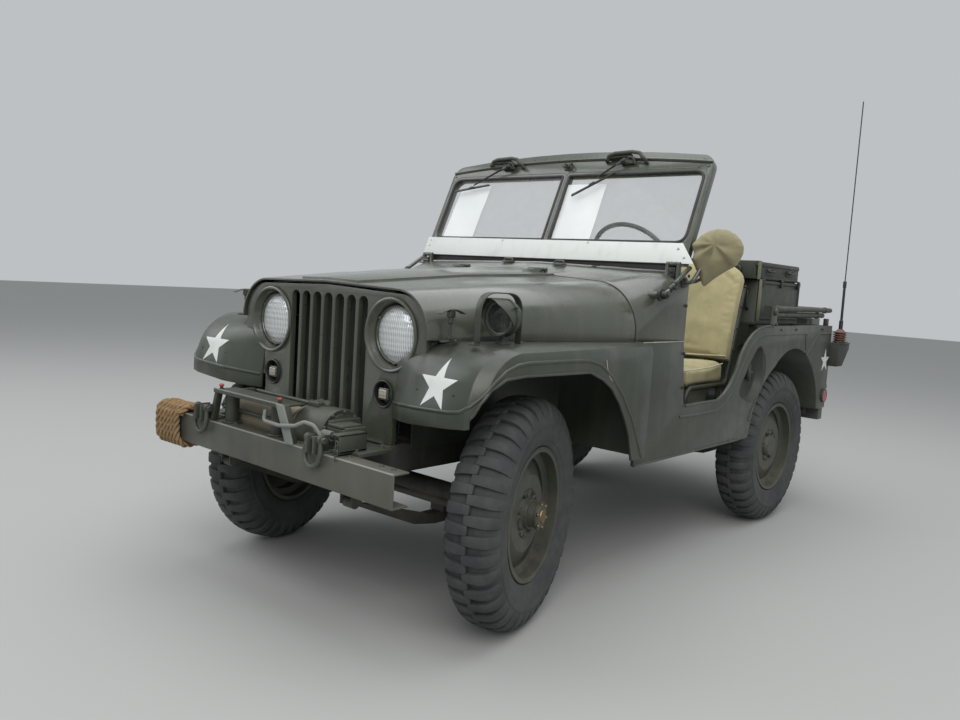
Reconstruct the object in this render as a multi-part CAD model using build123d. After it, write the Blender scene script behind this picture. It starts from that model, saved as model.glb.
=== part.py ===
"""Army 4x4 car with open body, folding windshield, front winch and radio set.

Millimetres. X points to the car's left, Y to its rear, Z up. The sizes below are given from a point
on the ground halfway between the axles, and save() then moves every piece so that the origin lies
on the ground below the middle of the whole car's box.
"""

from build123d import *
import math
import os

# Middle of the whole car's box, from the point halfway between the axles
BOX_MIDDLE_X = 67
BOX_MIDDLE_Y = 146

# Chassis
WHEELBASE = 2057
TRACK = 1248
FRONT_AXLE_Y = -WHEELBASE / 2
REAR_AXLE_Y = WHEELBASE / 2
HUB_Z = 386
KINGPIN_OFFSET = 64
KINGPIN_X = TRACK / 2 - KINGPIN_OFFSET
STEER_DEG = 15.5
RUNNING_GAP = 0.3

BALL_R = 34
NECK_R = 22
PLATE_X = 36
ARM_LENGTH = 150
ARM_Z = 26

# Springs
SPRING_X = 337
SPRING_EYES = (-1480, -590, 560, 1490)
SPRING_EYE_Z = 428
SPRING_SEAT_Z = 322

# Frame rails, open to the inside
RAIL_OUT_X = 362
RAIL_WIDTH = 50
RAIL_LOW_Z = 502
RAIL_HIGH_Z = 592
RAIL_WALL = 5
RAIL_FRONT_Y = -1599
RAIL_REAR_Y = 1636
CROSS_TUBES = (-1340, 420, 1250)

# Front bumper channel
BUMPER_HALF = 653
BUMPER_FRONT_Y = -1605
BUMPER_WALL = 6
BUMPER_DEPTH = 62

# Tyres and rims
TYRE_R = 386
TREAD_FLOOR_R = 366
TYRE_HALF = 93
SHOULDER_R = 318
TREAD_HALF = 78
TYRE_BORE_R = 213.3
TYRE_SIDES = 22
LUG_SHARE = 0.42
LUG_DROP = 14
FLOOR_DROP = 12
WALL_R = 352
DISH_R = 209
DISH_MOUTH_R = 286
# Columns: x, radius of the carcass
WALL_ROWS = ((-TYRE_HALF, SHOULDER_R), (-TREAD_HALF, WALL_R), (TREAD_HALF, WALL_R), (TYRE_HALF, SHOULDER_R))
RIM_R = 213.7
FLANGE_R = 222.5
RIM_HALF = 62
HUB_FACE_X = 96
HUB_BACK_X = -19.7

# Body shell
TUB_HALF = 725
SHEET = 12
SILL_LOW_Z = 480
SILL_HIGH_Z = 685
TUB_TOP_Z = 1008
FLOOR_Z = 600
COWL_FRONT_Y = -440
DOOR_FRONT_Y = -118
TUB_REAR_Y = 1650

# Front sheet metal
FENDER_HALF = 772
FENDER_TOP_Z = 948
GRILLE_Y = -1336
GRILLE_HALF = 484
GRILLE_WALL = 22
HOOD_REAR_Y = COWL_FRONT_Y - 6
COWL_LOW_Z = 949
HOOD_PIVOT_Y = COWL_FRONT_Y + 4
HOOD_PIVOT_Z = 1200
HOOD_PIN_R = 4
HOOD_HINGES = (-210, 210)
HINGE_HALF = 30
BARREL_R = 7
PANEL_RISE = 9
# Columns: y, half width of the hood's raised middle panel
PANEL_ROWS = ((-1338, 148), (HOOD_REAR_Y, 300))

# Lamps
LAMP_X = 324
LAMP_Z = 949
LAMP_HOLE_R = 115
MARKER_X = 303
MARKER_Z = 755
MARKER_HOLE_R = 40
BLACKOUT_X = 640
BLACKOUT_Y = -1190
BLACKOUT_Z = 1030
GUARD_Y = (-1283, -1080)
GUARD_TOP_Z = 1108
GUARD_BEND_R = 58
GUARD_STRAP = 4
GUARD_WIDTH = 24

# Grille
SLOT_PITCH = 61
SLOT_R = 23
SLOT_LOW_Z = 640
SLOT_TOP_Z = 1042

# Hood and cowl. Columns: y, half width, height of the top, shoulder radius, crown
HOOD_WALL = 7
COWL_WALL = 9
HOOD_ROWS = [
    (GRILLE_Y - 10, 500, 1108, 148, 9),
    (-900, 612, 1158, 160, 20),
    (HOOD_REAR_Y, TUB_HALF - 35, 1192, 190, 26),
]
COWL_ROWS = [
    (COWL_FRONT_Y, TUB_HALF - 33, 1194, 190, 26),
    (-250, TUB_HALF - 13, 1230, 110, 20),
    (DOOR_FRONT_Y, TUB_HALF, 1238, 60, 12),
]

# Fenders
FENDER_IN_X = 362
FENDER_LOW_Z = 524
FENDER_WALL = 8
# Columns: x, crease above the lip, then start, middle and end of the rounded shoulder as (y, z), and
# the height at the rear. The first rows curve back to the grille, the last three round the tip in plan
FENDER_ROWS = (
    (FENDER_IN_X, (-1346, 736), (-1336, 836), (-1320, 905), (-1262, FENDER_TOP_Z), FENDER_TOP_Z),
    (FENDER_IN_X + 68, (-1388, 745), (-1360, 840), (-1330, 905), (-1237, FENDER_TOP_Z), FENDER_TOP_Z),
    (FENDER_IN_X + 148, (-1419, 752), (-1389, 842), (-1348, 899), (-1225, FENDER_TOP_Z), FENDER_TOP_Z),
    (FENDER_HALF - 96, (-1426, 760), (-1396, 842), (-1355, 896), (-1224, FENDER_TOP_Z), FENDER_TOP_Z),
    (FENDER_HALF - 45, (-1414, 762), (-1385, 842), (-1343, 898), (-1219, 947), FENDER_TOP_Z),
    (FENDER_HALF - 10, (-1381, 763), (-1354, 836), (-1312, 890), (-1210, 933), FENDER_TOP_Z - 9),
    (FENDER_HALF, (-1338, 764), (-1318, 824), (-1282, 868), (-1200, 908), FENDER_TOP_Z - 30),
)
# Columns: y, z of the wheel opening's edge, from the front lip round to the sill
ARCH_EDGE = (
    (-1416, 722), (-1396, 752), (-1376, 792), (-1348, 828), (-1288, 857), (-1195, 863), (-849, 859),
    (-769, 831), (-708, 797), (-653, 743), (-608, 682), (-575, 627), (-552, 559), (-540, FENDER_LOW_Z),
)
# Lower edge of the lip across the front, as (x, z)
LIP_EDGE = ((FENDER_IN_X - 60, 683), (FENDER_HALF + 40, 722))

# Winch
WINCH_Y = -1470
WINCH_Z = 625
FAIRLEAD_Y = -1557
FAIRLEAD_R = 24
FAIRLEAD_TOP_Z = 705
FAIRLEAD_POSTS = (-218, 51)
WINCH_FOOT_Y = (-1540, -1400)
WINCH_FOOT_Z = RAIL_HIGH_Z + 14
GEAR_CASE_R = 84
DRUM_LOW_X = -284.7
DRUM_HIGH_X = 119.7

# Windshield
WS_FOOT_Y = -158
WS_FOOT_Z = 1256
WS_PIVOT_Y = -176
WS_PIVOT_Z = 1252
WS_LEAN_DEG = 23.4
WS_HALF = TUB_HALF - 7
WS_HEIGHT = 538
WS_SIDE_HEIGHT = 488
WS_CORNER_R = 62
PANE_IN_X = 17
PANE_OUT_X = WS_HALF - 28
PANE_LOW = 92
PANE_HIGH = 418
PANE_CORNER_R = 46
HINGE_X = WS_HALF - 38
HINGE_PIN_R = 5
WS_DEPTH = 36

# Inside
WHEEL_ROOM = 146
ARCH_IN_X = TRACK / 2 - WHEEL_ROOM
SEAT_X = (190, 565)
CUSHION_X = (165, 590)
CUSHION_Y = (220, 620)
CUSHION_Z = (724, 800)
BACK_WIDTH = 425
BACK_HEIGHT = 500
BACK_DEPTH = 75
BACK_FOOT_Z = 805
SEAT_BEND = (662, 712)
SEAT_TOP = (775, 1180)
SEAT_TUBE_R = 12
REAR_SEAT_X = (23 - ARCH_IN_X, 80)
RADIO_X = (110, TUB_HALF - 125)
RADIO_LOW_Y = (860, 1435)
RADIO_HIGH_Y = (800, 1390)
RADIO_RACK_Z = 1022
RADIO_SPLIT_Z = 1228
RADIO_TOP_Z = 1318
COLUMN_R = 24
COLUMN_SLOPE = math.radians(35)
COLUMN_LENGTH = 801
WHEEL_HUB = (241, 245, 1269)
STEERING_WHEEL_R = 200

# Folded top
BOW_PIVOT_Y = 800
BOW_PIVOT_Z = 1076
BOW_PIN_R = 8
BOW_TUBE_R = 13
BOW_BEND_R = 70
BRACKET_X = TUB_HALF - 8.7

# Rear
WHIP_FOOT_Z = 986
WHIP_BEND_Z = 1255
WHIP_TOP_Z = 2260
CAN_X = (TUB_HALF - 470, TUB_HALF - 125)
CAN_Z = (601, 1040)
TOW_EYE_R = 24
TOW_EYE_HALF = 13
TOW_EYE_Z = 540
SPARE_X = -330
SPARE_Y = TUB_REAR_Y + 188
SPARE_Z = 800
TAIL_LAMP_Z = 660
REFLECTOR_PLACE = (1612, 615)
MIRROR_FOOT_X = TUB_HALF - 10
STRUT_Y = (-335, -150)
STRUT_Z = (1128, 1240)


def box(x, y, z):
    """Block between pairs of low and high values."""
    size = (x[1] - x[0], y[1] - y[0], z[1] - z[0])
    middle = ((x[0] + x[1]) / 2, (y[0] + y[1]) / 2, (z[0] + z[1]) / 2)
    return Pos(*middle) * Box(*size)


def rod(start, end, radius, bore=0):
    """Round bar, or tube where a bore is given, between two points."""
    axis = Vector(*end) - Vector(*start)
    plane = Plane(origin=start, z_dir=axis)
    face = plane * Circle(radius)
    if bore:
        face -= plane * Circle(bore)
    return extrude(face, amount=axis.length, dir=axis.normalized())


def side_plate(points, x_low, x_high):
    """Plate cut from a (y, z) outline, lying between two values of x."""
    face = make_face(Polyline(*[(x_low, y, z) for y, z in points], close=True))
    return extrude(face, amount=x_high - x_low, dir=(1, 0, 0))


def front_plate(points, y_low, y_high):
    """Plate cut from an (x, z) outline, lying between two values of y."""
    face = make_face(Polyline(*[(x, y_low, z) for x, z in points], close=True))
    return extrude(face, amount=y_high - y_low, dir=(0, 1, 0))


def bent_tube(points, radii, tube_r):
    """Tube along straight runs joined by arcs."""
    path = FilletPolyline(*points, radius=radii)
    start = Plane(origin=path @ 0, z_dir=path % 0)
    return sweep(start * Circle(tube_r), path=path)


def both_sides(shape):
    """A piece and its mirror image on the other side of the car."""
    return [shape, mirror(shape, about=Plane.YZ)]


def lathe(points, place):
    """Solid turned from an (r, along) outline about the place's own X axis."""
    face = make_face(Polyline(*[(along, r, 0) for r, along in points], close=True))
    return place * revolve(face, axis=Axis.X)


def save(name, *shapes):
    """Write one node, moved so that the origin is below the middle of the car's box."""
    solids = []
    for shape in shapes:
        solids += shape.solids()
    moved = [Pos(-BOX_MIDDLE_X, -BOX_MIDDLE_Y, 0) * s for s in solids]
    export_step(Compound(children=moved) if len(moved) > 1 else moved[0], f"parts/{name}.step")


# Wheels. Each is modelled about the X axis with its outer side towards +X.


def ring(x, radii_and_angles):
    """Closed ring of points round the X axis, given as (radius, angle) pairs."""
    return [(x, radius * math.cos(angle), radius * math.sin(angle)) for radius, angle in radii_and_angles]


def plain_ring(x, radius):
    """Ring with one corner for each of the tyre's sides."""
    return ring(x, [(radius, 2 * math.pi * i / TYRE_SIDES) for i in range(TYRE_SIDES)])


def lug_ring(x, top_r, floor_r, first):
    """Ring of one row of lugs. Each lug fills LUG_SHARE of the pitch, so that the rows never touch."""
    pitch = 2 * math.pi / TYRE_SIDES
    corners = []
    for i in range(TYRE_SIDES):
        start = (i + first / 2) * pitch
        end = start + LUG_SHARE * pitch
        corners += [(floor_r, start), (top_r, start), (top_r, end), (floor_r, end)]
    return ring(x, corners)


def flat_sided(rings):
    """Solid between rings of as many points each, made of flat faces only."""
    faces = [make_face(Polyline(*rings[0], close=True)), make_face(Polyline(*rings[-1], close=True))]
    for low, high in zip(rings, rings[1:]):
        for i in range(len(low)):
            j = (i + 1) % len(low)
            faces.append(make_face(Polyline(low[i], low[j], high[j], high[i], close=True)))
    return Solid(Shell(faces))


def tyre():
    """Tyre with two rows of square lugs, set half a pitch apart."""
    flat = math.cos(math.pi / TYRE_SIDES)
    shape = flat_sided([plain_ring(x, radius) for x, radius in WALL_ROWS])
    for first, edge in ((0, TREAD_HALF), (1, -TREAD_HALF)):
        inner = lug_ring(0, TYRE_R, TREAD_FLOOR_R, first)
        outer = lug_ring(edge, TYRE_R - LUG_DROP, TREAD_FLOOR_R - FLOOR_DROP, first)
        shape += flat_sided([inner, outer])
    # The dish cuts the bore's edge and passes just outside the rim's flange
    dish = flat_sided([plain_ring(RIM_HALF - 8, DISH_R / flat), plain_ring(TYRE_HALF + 1, DISH_MOUTH_R)])
    bore = flat_sided([plain_ring(x, TYRE_BORE_R / flat) for x in (-TYRE_HALF - 5, TYRE_HALF + 5)])
    return shape - dish - mirror(dish, about=Plane.YZ) - bore


def rim(front):
    """Steel disc wheel with its drop centre, five bolts and hub."""
    lip = RIM_R - 0.7
    shell = lathe(
        [
            (FLANGE_R, -RIM_HALF - 10), (FLANGE_R, -RIM_HALF), (lip, -RIM_HALF),
            (lip, -30), (lip - 24, -22), (lip - 24, 22), (lip, 30), (lip, RIM_HALF),
            (FLANGE_R, RIM_HALF), (FLANGE_R, RIM_HALF + 10), (RIM_R - 6, RIM_HALF + 10),
            (RIM_R - 6, 34), (lip - 30, 26), (lip - 30, -26), (RIM_R - 6, -34),
            (RIM_R - 6, -RIM_HALF - 10),
        ],
        Location(),
    )
    disc = lathe(
        [
            (0, 34), (70, 34), (84, 44), (128, 44), (170, 20), (lip - 27, 12), (lip - 27, 4),
            (168, 10), (124, 34), (88, 34), (74, 20), (0, 20),
        ],
        Location(),
    )
    nose = HUB_FACE_X if front else 62
    outline = [(0, HUB_BACK_X), (130, HUB_BACK_X), (130, 34), (44, 36)]
    outline += [(40, nose - 18), (34, nose), (0, nose)]
    hub = lathe(outline, Location())
    shape = shell + disc + hub
    for i in range(5):
        angle = math.radians(72 * i + 18)
        y = 70 * math.cos(angle)
        z = 70 * math.sin(angle)
        shape += rod((30, y, z), (48, y, z), 11)
    return shape


def wheels():
    one_tyre = tyre()
    rims = {True: rim(True), False: rim(False)}
    # Columns: name, side of the car, front or rear
    for name, side, front in (
        ("front_left", 1, True),
        ("front_right", -1, True),
        ("rear_left", 1, False),
        ("rear_right", -1, False),
    ):
        turn = 0 if side == 1 else 180
        if front:
            pin = Pos(side * KINGPIN_X, FRONT_AXLE_Y, HUB_Z) * Rot(0, 0, STEER_DEG)
            place = pin * Pos(side * (TRACK / 2 - KINGPIN_X), 0, 0) * Rot(0, 0, turn)
        else:
            place = Pos(side * TRACK / 2, REAR_AXLE_Y, HUB_Z) * Rot(0, 0, turn)
        save(f"tyre_{name}", place * one_tyre)
        save(f"rim_{name}", place * rims[front])
    spare = Pos(SPARE_X, SPARE_Y, SPARE_Z) * Rot(0, 0, 90)
    save("spare_tyre", spare * one_tyre)
    save("spare_rim", spare * rims[False])


# Running gear


def chassis():
    """Two channel rails joined by tubes, with spring hangers."""
    rail = box((RAIL_OUT_X - RAIL_WIDTH, RAIL_OUT_X), (RAIL_FRONT_Y, RAIL_REAR_Y), (RAIL_LOW_Z, RAIL_HIGH_Z))
    rail -= box(
        (RAIL_OUT_X - RAIL_WIDTH, RAIL_OUT_X - RAIL_WALL),
        (RAIL_FRONT_Y + 1, RAIL_REAR_Y - 1),
        (RAIL_LOW_Z + RAIL_WALL, RAIL_HIGH_Z - RAIL_WALL),
    )
    shape = rail + mirror(rail, about=Plane.YZ)
    for y in CROSS_TUBES:
        shape += rod((-RAIL_OUT_X + 2, y, 545), (RAIL_OUT_X - 2, y, 545), 28)
    shape += box((-640, 640), (RAIL_REAR_Y - 60, RAIL_REAR_Y), (RAIL_LOW_Z, RAIL_HIGH_Z))
    for y in (-400, 330, 1180, 1590):
        for side in (1, -1):
            low, high = sorted((side * 318, side * 356))
            shape += box((low, high), (y - 20, y + 20), (RAIL_HIGH_Z - 1, FLOOR_Z))
    for y in SPRING_EYES:
        for side in (1, -1):
            x = side * SPRING_X
            hanger = box((x - 28, x + 28), (y - 22, y + 22), (SPRING_EYE_Z - 5, RAIL_LOW_Z + 2))
            shape += hanger - box((x - 23, x + 23), (y - 40, y + 40), (SPRING_EYE_Z - 20, SPRING_EYE_Z + 25))
    return shape


def leaf_springs():
    springs = []
    for front, rear, axle in (
        (SPRING_EYES[0], SPRING_EYES[1], FRONT_AXLE_Y),
        (SPRING_EYES[2], SPRING_EYES[3], REAR_AXLE_Y),
    ):
        outline = [
            (front, SPRING_EYE_Z + 5), (axle - 120, SPRING_SEAT_Z + 12), (axle + 120, SPRING_SEAT_Z + 12),
            (rear, SPRING_EYE_Z + 5), (rear, SPRING_EYE_Z - 5), (axle + 190, SPRING_SEAT_Z - 8),
            (axle + 90, SPRING_SEAT_Z - 24), (axle - 90, SPRING_SEAT_Z - 24),
            (axle - 190, SPRING_SEAT_Z - 8), (front, SPRING_EYE_Z - 5),
        ]
        spring = side_plate(outline, SPRING_X - 22, SPRING_X + 22)
        for y in (front, rear):
            spring += rod((SPRING_X - 23, y, SPRING_EYE_Z), (SPRING_X + 23, y, SPRING_EYE_Z), 17)
        springs += both_sides(spring)
    return springs


def spring_saddle(side, axle_y):
    """Block that joins the axle's tube to the middle of its spring."""
    x = side * SPRING_X
    return box((x - 30, x + 30), (axle_y - 60, axle_y + 60), (SPRING_SEAT_Z + 12, HUB_Z - 20))


def front_axle():
    """Tube with the differential to the car's right and a ball at each kingpin."""
    end = KINGPIN_X - 70
    shape = rod((-end, FRONT_AXLE_Y, HUB_Z), (end, FRONT_AXLE_Y, HUB_Z), 38)
    case = [(0, -95), (60, -80), (112, -40), (112, 40), (60, 80), (0, 95)]
    shape += lathe(case, Pos(-150, FRONT_AXLE_Y, HUB_Z))
    shape += rod((-150, FRONT_AXLE_Y, HUB_Z), (-150, FRONT_AXLE_Y + 200, HUB_Z + 12), 42)
    for side in (1, -1):
        neck = [(side * x, FRONT_AXLE_Y, HUB_Z) for x in (end - 5, KINGPIN_X - 20)]
        shape += rod(*neck, NECK_R)
        shape += Pos(side * KINGPIN_X, FRONT_AXLE_Y, HUB_Z) * Sphere(BALL_R)
        shape += spring_saddle(side, FRONT_AXLE_Y)
    return shape


def rear_axle():
    face = TRACK / 2 + HUB_BACK_X - RUNNING_GAP
    shape = rod((59 - face, REAR_AXLE_Y, HUB_Z), (face - 59, REAR_AXLE_Y, HUB_Z), 38)
    case = [(0, -110), (70, -95), (125, -45), (125, 45), (70, 95), (0, 110)]
    shape += lathe(case, Pos(-60, REAR_AXLE_Y, HUB_Z))
    shape += rod((-60, REAR_AXLE_Y - 210, HUB_Z + 12), (-60, REAR_AXLE_Y, HUB_Z), 45)
    for side in (1, -1):
        shape += rod((side * (face - 59), REAR_AXLE_Y, HUB_Z), (side * face, REAR_AXLE_Y, HUB_Z), 140)
        shape += spring_saddle(side, REAR_AXLE_Y)
    return shape


def knuckle():
    """Right knuckle about its kingpin: cup, pin bosses, backing plate and the arm to the front."""
    shape = Sphere(BALL_R + 16) & box((-PLATE_X - 4, -2), (-60, 60), (-60, 60))
    shape += Cylinder(20, 2 * BALL_R + 50)
    shape += rod((-PLATE_X, 0, 0), (-PLATE_X - 8, 0, 0), 138)
    shape += box((-14, 14), (-ARM_LENGTH, -40), (ARM_Z, ARM_Z + 16))
    shape += Pos(0, -ARM_LENGTH, ARM_Z + 8) * Cylinder(20, 16)
    return shape - Sphere(BALL_R + RUNNING_GAP)


def save_steering():
    """Knuckles, their arms and the rod between them."""
    right = knuckle()
    for name, shape, x in (("left", mirror(right, about=Plane.YZ), KINGPIN_X), ("right", right, -KINGPIN_X)):
        save(f"knuckle_{name}", Pos(x, FRONT_AXLE_Y, HUB_Z) * Rot(0, 0, STEER_DEG) * shape)
    turn = math.radians(STEER_DEG)
    eye_x = ARM_LENGTH * math.sin(turn)
    eye_y = FRONT_AXLE_Y - ARM_LENGTH * math.cos(turn)
    z = HUB_Z + ARM_Z - RUNNING_GAP - 11
    left = (KINGPIN_X + eye_x, eye_y, z)
    right = (-KINGPIN_X + eye_x, eye_y, z)
    shape = rod(left, right, 11)
    for end in (left, right):
        shape += Pos(*end) * Cylinder(17, 22)
    save("tie_rod", shape)


def shock_absorbers():
    """Four leaning tubes between the spring plates and the rails."""
    shapes = []
    for axle, lean in ((FRONT_AXLE_Y, 120), (REAR_AXLE_Y, -120)):
        low = (395, axle + lean / 2, 350)
        high = (395, axle + lean, 570)
        shape = rod(low, high, 20)
        shape += rod((SPRING_X + 30, low[1], low[2]), (395, low[1], low[2]), 8)
        shape += rod((RAIL_OUT_X, high[1], high[2] - 12), (395, high[1], high[2] - 12), 8)
        shapes += both_sides(shape)
    return shapes


def propshafts():
    front = rod((-150, FRONT_AXLE_Y + 192.5, 399), (-150, -280, 470), 25) - front_axle() - transfer_case()
    rear = rod((-60, 285, 470), (-60, REAR_AXLE_Y - 202.5, 399), 25) - rear_axle() - transfer_case()
    return [front, rear]


def engine():
    """Engine and gearbox as plain blocks, closed under the hood and the floor."""
    block = box((-150, 170), (-1130, -450), (575, 930))
    pan = box((-110, 130), (-1100, -560), (505, 575))
    case = lathe([(0, 0), (92, 0), (84, 270), (0, 270)], Pos(0, -451, 500) * Rot(0, 0, 90))
    shape = block + pan + case
    for side in (1, -1):
        low, high = sorted((side * 140, side * 340))
        shape += box((low, high), (-900, -860), (RAIL_HIGH_Z, RAIL_HIGH_Z + 14))
    return shape


def transfer_case():
    shape = box((-180, 110), (-181, 290), (430, 588))
    shape += rod((-150, -290, 470), (-150, -179, 470), 40)
    return shape


def radiator():
    shape = box((-238, 238), (-1255, -1200), (RAIL_HIGH_Z, 1060))
    return shape + box((-340, 340), (-1240, -1215), (RAIL_HIGH_Z, RAIL_HIGH_Z + 12))


def exhaust():
    """Pipe, muffler and tail pipe, which leaves below the right sill."""
    low_z = 462
    route = [(-185, -700, 600), (-215, -600, 545), (-250, -300, low_z), (-255, 20, low_z)]
    shape = bent_tube(route, [40, 60], 20)
    shape += rod((-255, 0, low_z), (-255, 440, low_z), 52)
    for y in (60, 360):
        shape += box((-345, -270), (y, y + 20), (low_z + 20, RAIL_LOW_Z))
    shape += bent_tube([(-255, 430, low_z), (-255, 505, low_z), (-640, 505, low_z - 8)], [45], 18)
    return shape


# Front end


def front_bumper():
    """Channel with its flanges to the rear, and two shackle brackets with rings."""
    outer = box((-BUMPER_HALF, BUMPER_HALF), (BUMPER_FRONT_Y, BUMPER_FRONT_Y + BUMPER_DEPTH), (496, 598))
    inner = box(
        (-BUMPER_HALF - 1, BUMPER_HALF + 1),
        (BUMPER_FRONT_Y + BUMPER_WALL, BUMPER_FRONT_Y + BUMPER_DEPTH + 1),
        (496 + BUMPER_WALL, 598 - BUMPER_WALL),
    )
    shape = outer - inner
    for x in (-314, 314):
        for ear in (-24, 14):
            shape += box((x + ear, x + ear + 10), (BUMPER_FRONT_Y - 30, BUMPER_FRONT_Y + 30), (598, 652))
    pieces = [shape]
    for x in (-314, 314):
        ring = Pos(x, BUMPER_FRONT_Y - 16, 592) * Rot(0, 90, 0) * Rot(90, 0, 0) * Torus(36, 8)
        ring += rod((x - 24, BUMPER_FRONT_Y - 8, 636), (x + 24, BUMPER_FRONT_Y - 8, 636), 7)
        pieces.append(ring)
    return pieces


def rope_coil():
    """Rope wound round the bumper's right end."""
    low, high = -626, -434
    y = (BUMPER_FRONT_Y - 34, BUMPER_FRONT_Y + BUMPER_DEPTH + 30)
    outer = box((low, high), y, (461, 633))
    outer = fillet(outer.edges(), 26)
    hole = box(
        (low - 5, high + 5),
        (BUMPER_FRONT_Y, BUMPER_FRONT_Y + BUMPER_DEPTH),
        (496, 598),
    )
    return outer - hole


def grille():
    """Pressed panel with seven slots, two lamp bells and two marker holes."""
    outline = hood_section(GRILLE_Y, GRILLE_HALF, 742, 1094, 122, 12)
    shape = extrude(outline, amount=GRILLE_WALL, dir=(0, 1, 0))
    shape += box((-350, 350), (GRILLE_Y, GRILLE_Y + GRILLE_WALL), (RAIL_HIGH_Z, 745))
    for i in range(-3, 4):
        x = SLOT_PITCH * i
        shape -= box((x - SLOT_R, x + SLOT_R), (GRILLE_Y - 5, GRILLE_Y + 40), (SLOT_LOW_Z, SLOT_TOP_Z))
        shape -= rod((x, GRILLE_Y - 5, SLOT_TOP_Z), (x, GRILLE_Y + 40, SLOT_TOP_Z), SLOT_R)
    for side in (1, -1):
        x = side * LAMP_X
        shape -= rod((x, GRILLE_Y - 5, LAMP_Z), (x, GRILLE_Y + 40, LAMP_Z), LAMP_HOLE_R)
        x = side * MARKER_X
        shape -= rod((x, GRILLE_Y - 5, MARKER_Z), (x, GRILLE_Y + 40, MARKER_Z), MARKER_HOLE_R)
    return shape


def front_lamps():
    """Headlamps in their bells, marker lamps, and the blackout lamp on the left fender."""
    lamp = [(0, 10), (50, 14), (85, 25), (89, 31), (97, 31), (103, 12), (109, 2), (LAMP_HOLE_R, 2),
            (LAMP_HOLE_R, 24), (98, 50), (0, 66)]
    marker = [(0, 6), (26, 8), (MARKER_HOLE_R, 12), (MARKER_HOLE_R, 30), (28, 50), (0, 50)]
    pieces = []
    for side in (1, -1):
        pieces.append(lathe(lamp, Pos(side * LAMP_X, GRILLE_Y, LAMP_Z) * Rot(0, 0, 90)))
        pieces.append(lathe(marker, Pos(side * MARKER_X, GRILLE_Y, MARKER_Z) * Rot(0, 0, 90)))
    # The blackout lamp faces forward in a deep rim, whose upper half is a visor
    place = Pos(BLACKOUT_X, BLACKOUT_Y, BLACKOUT_Z) * Rot(0, 0, 90)
    blackout = lathe([(0, 20), (46, 12), (52, 0), (58, 0), (58, 45), (46, 66), (20, 78), (0, 78)], place)
    visor = lathe([(54, -42), (58, -42), (58, 2), (54, 2)], place)
    blackout += visor & Pos(BLACKOUT_X, BLACKOUT_Y - 20, BLACKOUT_Z + 30) * Box(120, 60, 60)
    foot_y = BLACKOUT_Y + 35
    blackout += rod((BLACKOUT_X, foot_y, FENDER_TOP_Z), (BLACKOUT_X, foot_y, BLACKOUT_Z - 45), 14)
    pieces.append(blackout)
    return pieces


def hood_section(y, half, low_z, top_z, radius, crown):
    """Closed outline of the hood or cowl across the car: lines and one arc at each shoulder."""
    side_z = top_z - crown - radius
    bend = radius * (1 - math.sqrt(0.5))
    middle = (half - bend, side_z + radius - bend)
    right = [(half, low_z), (half, side_z), middle, (half - radius, top_z - crown)]
    edges = Line((half, y, low_z), (half, y, side_z))
    edges += ThreePointArc(*[(x, y, z) for x, z in right[1:]])
    edges += Line((half - radius, y, top_z - crown), (0, y, top_z))
    edges += Line((0, y, top_z), (radius - half, y, top_z - crown))
    edges += ThreePointArc(*[(-x, y, z) for x, z in right[:0:-1]])
    edges += Line((-half, y, side_z), (-half, y, low_z))
    edges += Line((-half, y, low_z), (half, y, low_z))
    return make_face(edges)


def solid_of(rows, low_z, rise=0):
    return loft([hood_section(y, half, low_z, top + rise, r, c) for y, half, top, r, c in rows], ruled=True)


def hollow_of(rows, low_z, wall, rise=0):
    """Inside of a hood or cowl: open below and at both ends."""
    inner = [[y, half - wall, top - wall, r - wall, c] for y, half, top, r, c in rows]
    inner[0][0] -= 1
    inner[-1][0] += 1
    return solid_of(inner, low_z - 20, rise)


def panel_prism(inset):
    """Block whose plan is that of the hood's raised middle, made smaller all round by the inset."""
    (front_y, front_half), (rear_y, rear_half) = PANEL_ROWS
    front, rear = front_half - inset, rear_half - inset
    plan = [(-front, front_y + inset), (front, front_y + inset), (rear, rear_y), (-rear, rear_y)]
    low_z = HOOD_ROWS[0][2] - 60
    face = make_face(Polyline(*[(x, y, low_z) for x, y in plan], close=True))
    return extrude(face, amount=200, dir=(0, 0, 1))


def hood():
    """Pressed hood that opens from the front, with a raised middle panel and its hinge leaves."""
    low_z = FENDER_TOP_Z + RUNNING_GAP
    shape = solid_of(HOOD_ROWS, low_z) + (solid_of(HOOD_ROWS, low_z, PANEL_RISE) & panel_prism(0))
    shape -= hollow_of(HOOD_ROWS, low_z, HOOD_WALL)
    shape -= hollow_of(HOOD_ROWS, low_z, HOOD_WALL, PANEL_RISE) & panel_prism(HOOD_WALL)
    for x in HOOD_HINGES:
        span = (x - HINGE_HALF, x + HINGE_HALF)
        shape += box(span, (HOOD_REAR_Y - 55, HOOD_REAR_Y + 2), (HOOD_PIVOT_Z - 20, HOOD_PIVOT_Z - 3))
        shape += box(span, (HOOD_REAR_Y - 20, HOOD_PIVOT_Y), (HOOD_PIVOT_Z - 10, HOOD_PIVOT_Z + 4))
        shape += hinge_rod(*span, BARREL_R)
        shape += hinge_rod(x - HINGE_HALF - 16, x + HINGE_HALF + 16, HOOD_PIN_R)
    return shape


def hinge_rod(low_x, high_x, radius):
    """Bar on the hood's hinge axis."""
    return rod((low_x, HOOD_PIVOT_Y, HOOD_PIVOT_Z), (high_x, HOOD_PIVOT_Y, HOOD_PIVOT_Z), radius)


def hood_ears():
    """Ears on the cowl that carry the hood's hinge pins."""
    ears = []
    for x in HOOD_HINGES:
        for way in (1, -1):
            low, high = sorted((x + way * (HINGE_HALF + 3), x + way * (HINGE_HALF + 15)))
            y = (COWL_FRONT_Y, HOOD_PIVOT_Y + BARREL_R)
            ear = box((low, high), y, (HOOD_PIVOT_Z - 28, HOOD_PIVOT_Z)) + hinge_rod(low, high, BARREL_R)
            ears.append(ear - hinge_rod(low - 1, high + 1, HOOD_PIN_R + RUNNING_GAP))
    return ears


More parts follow.
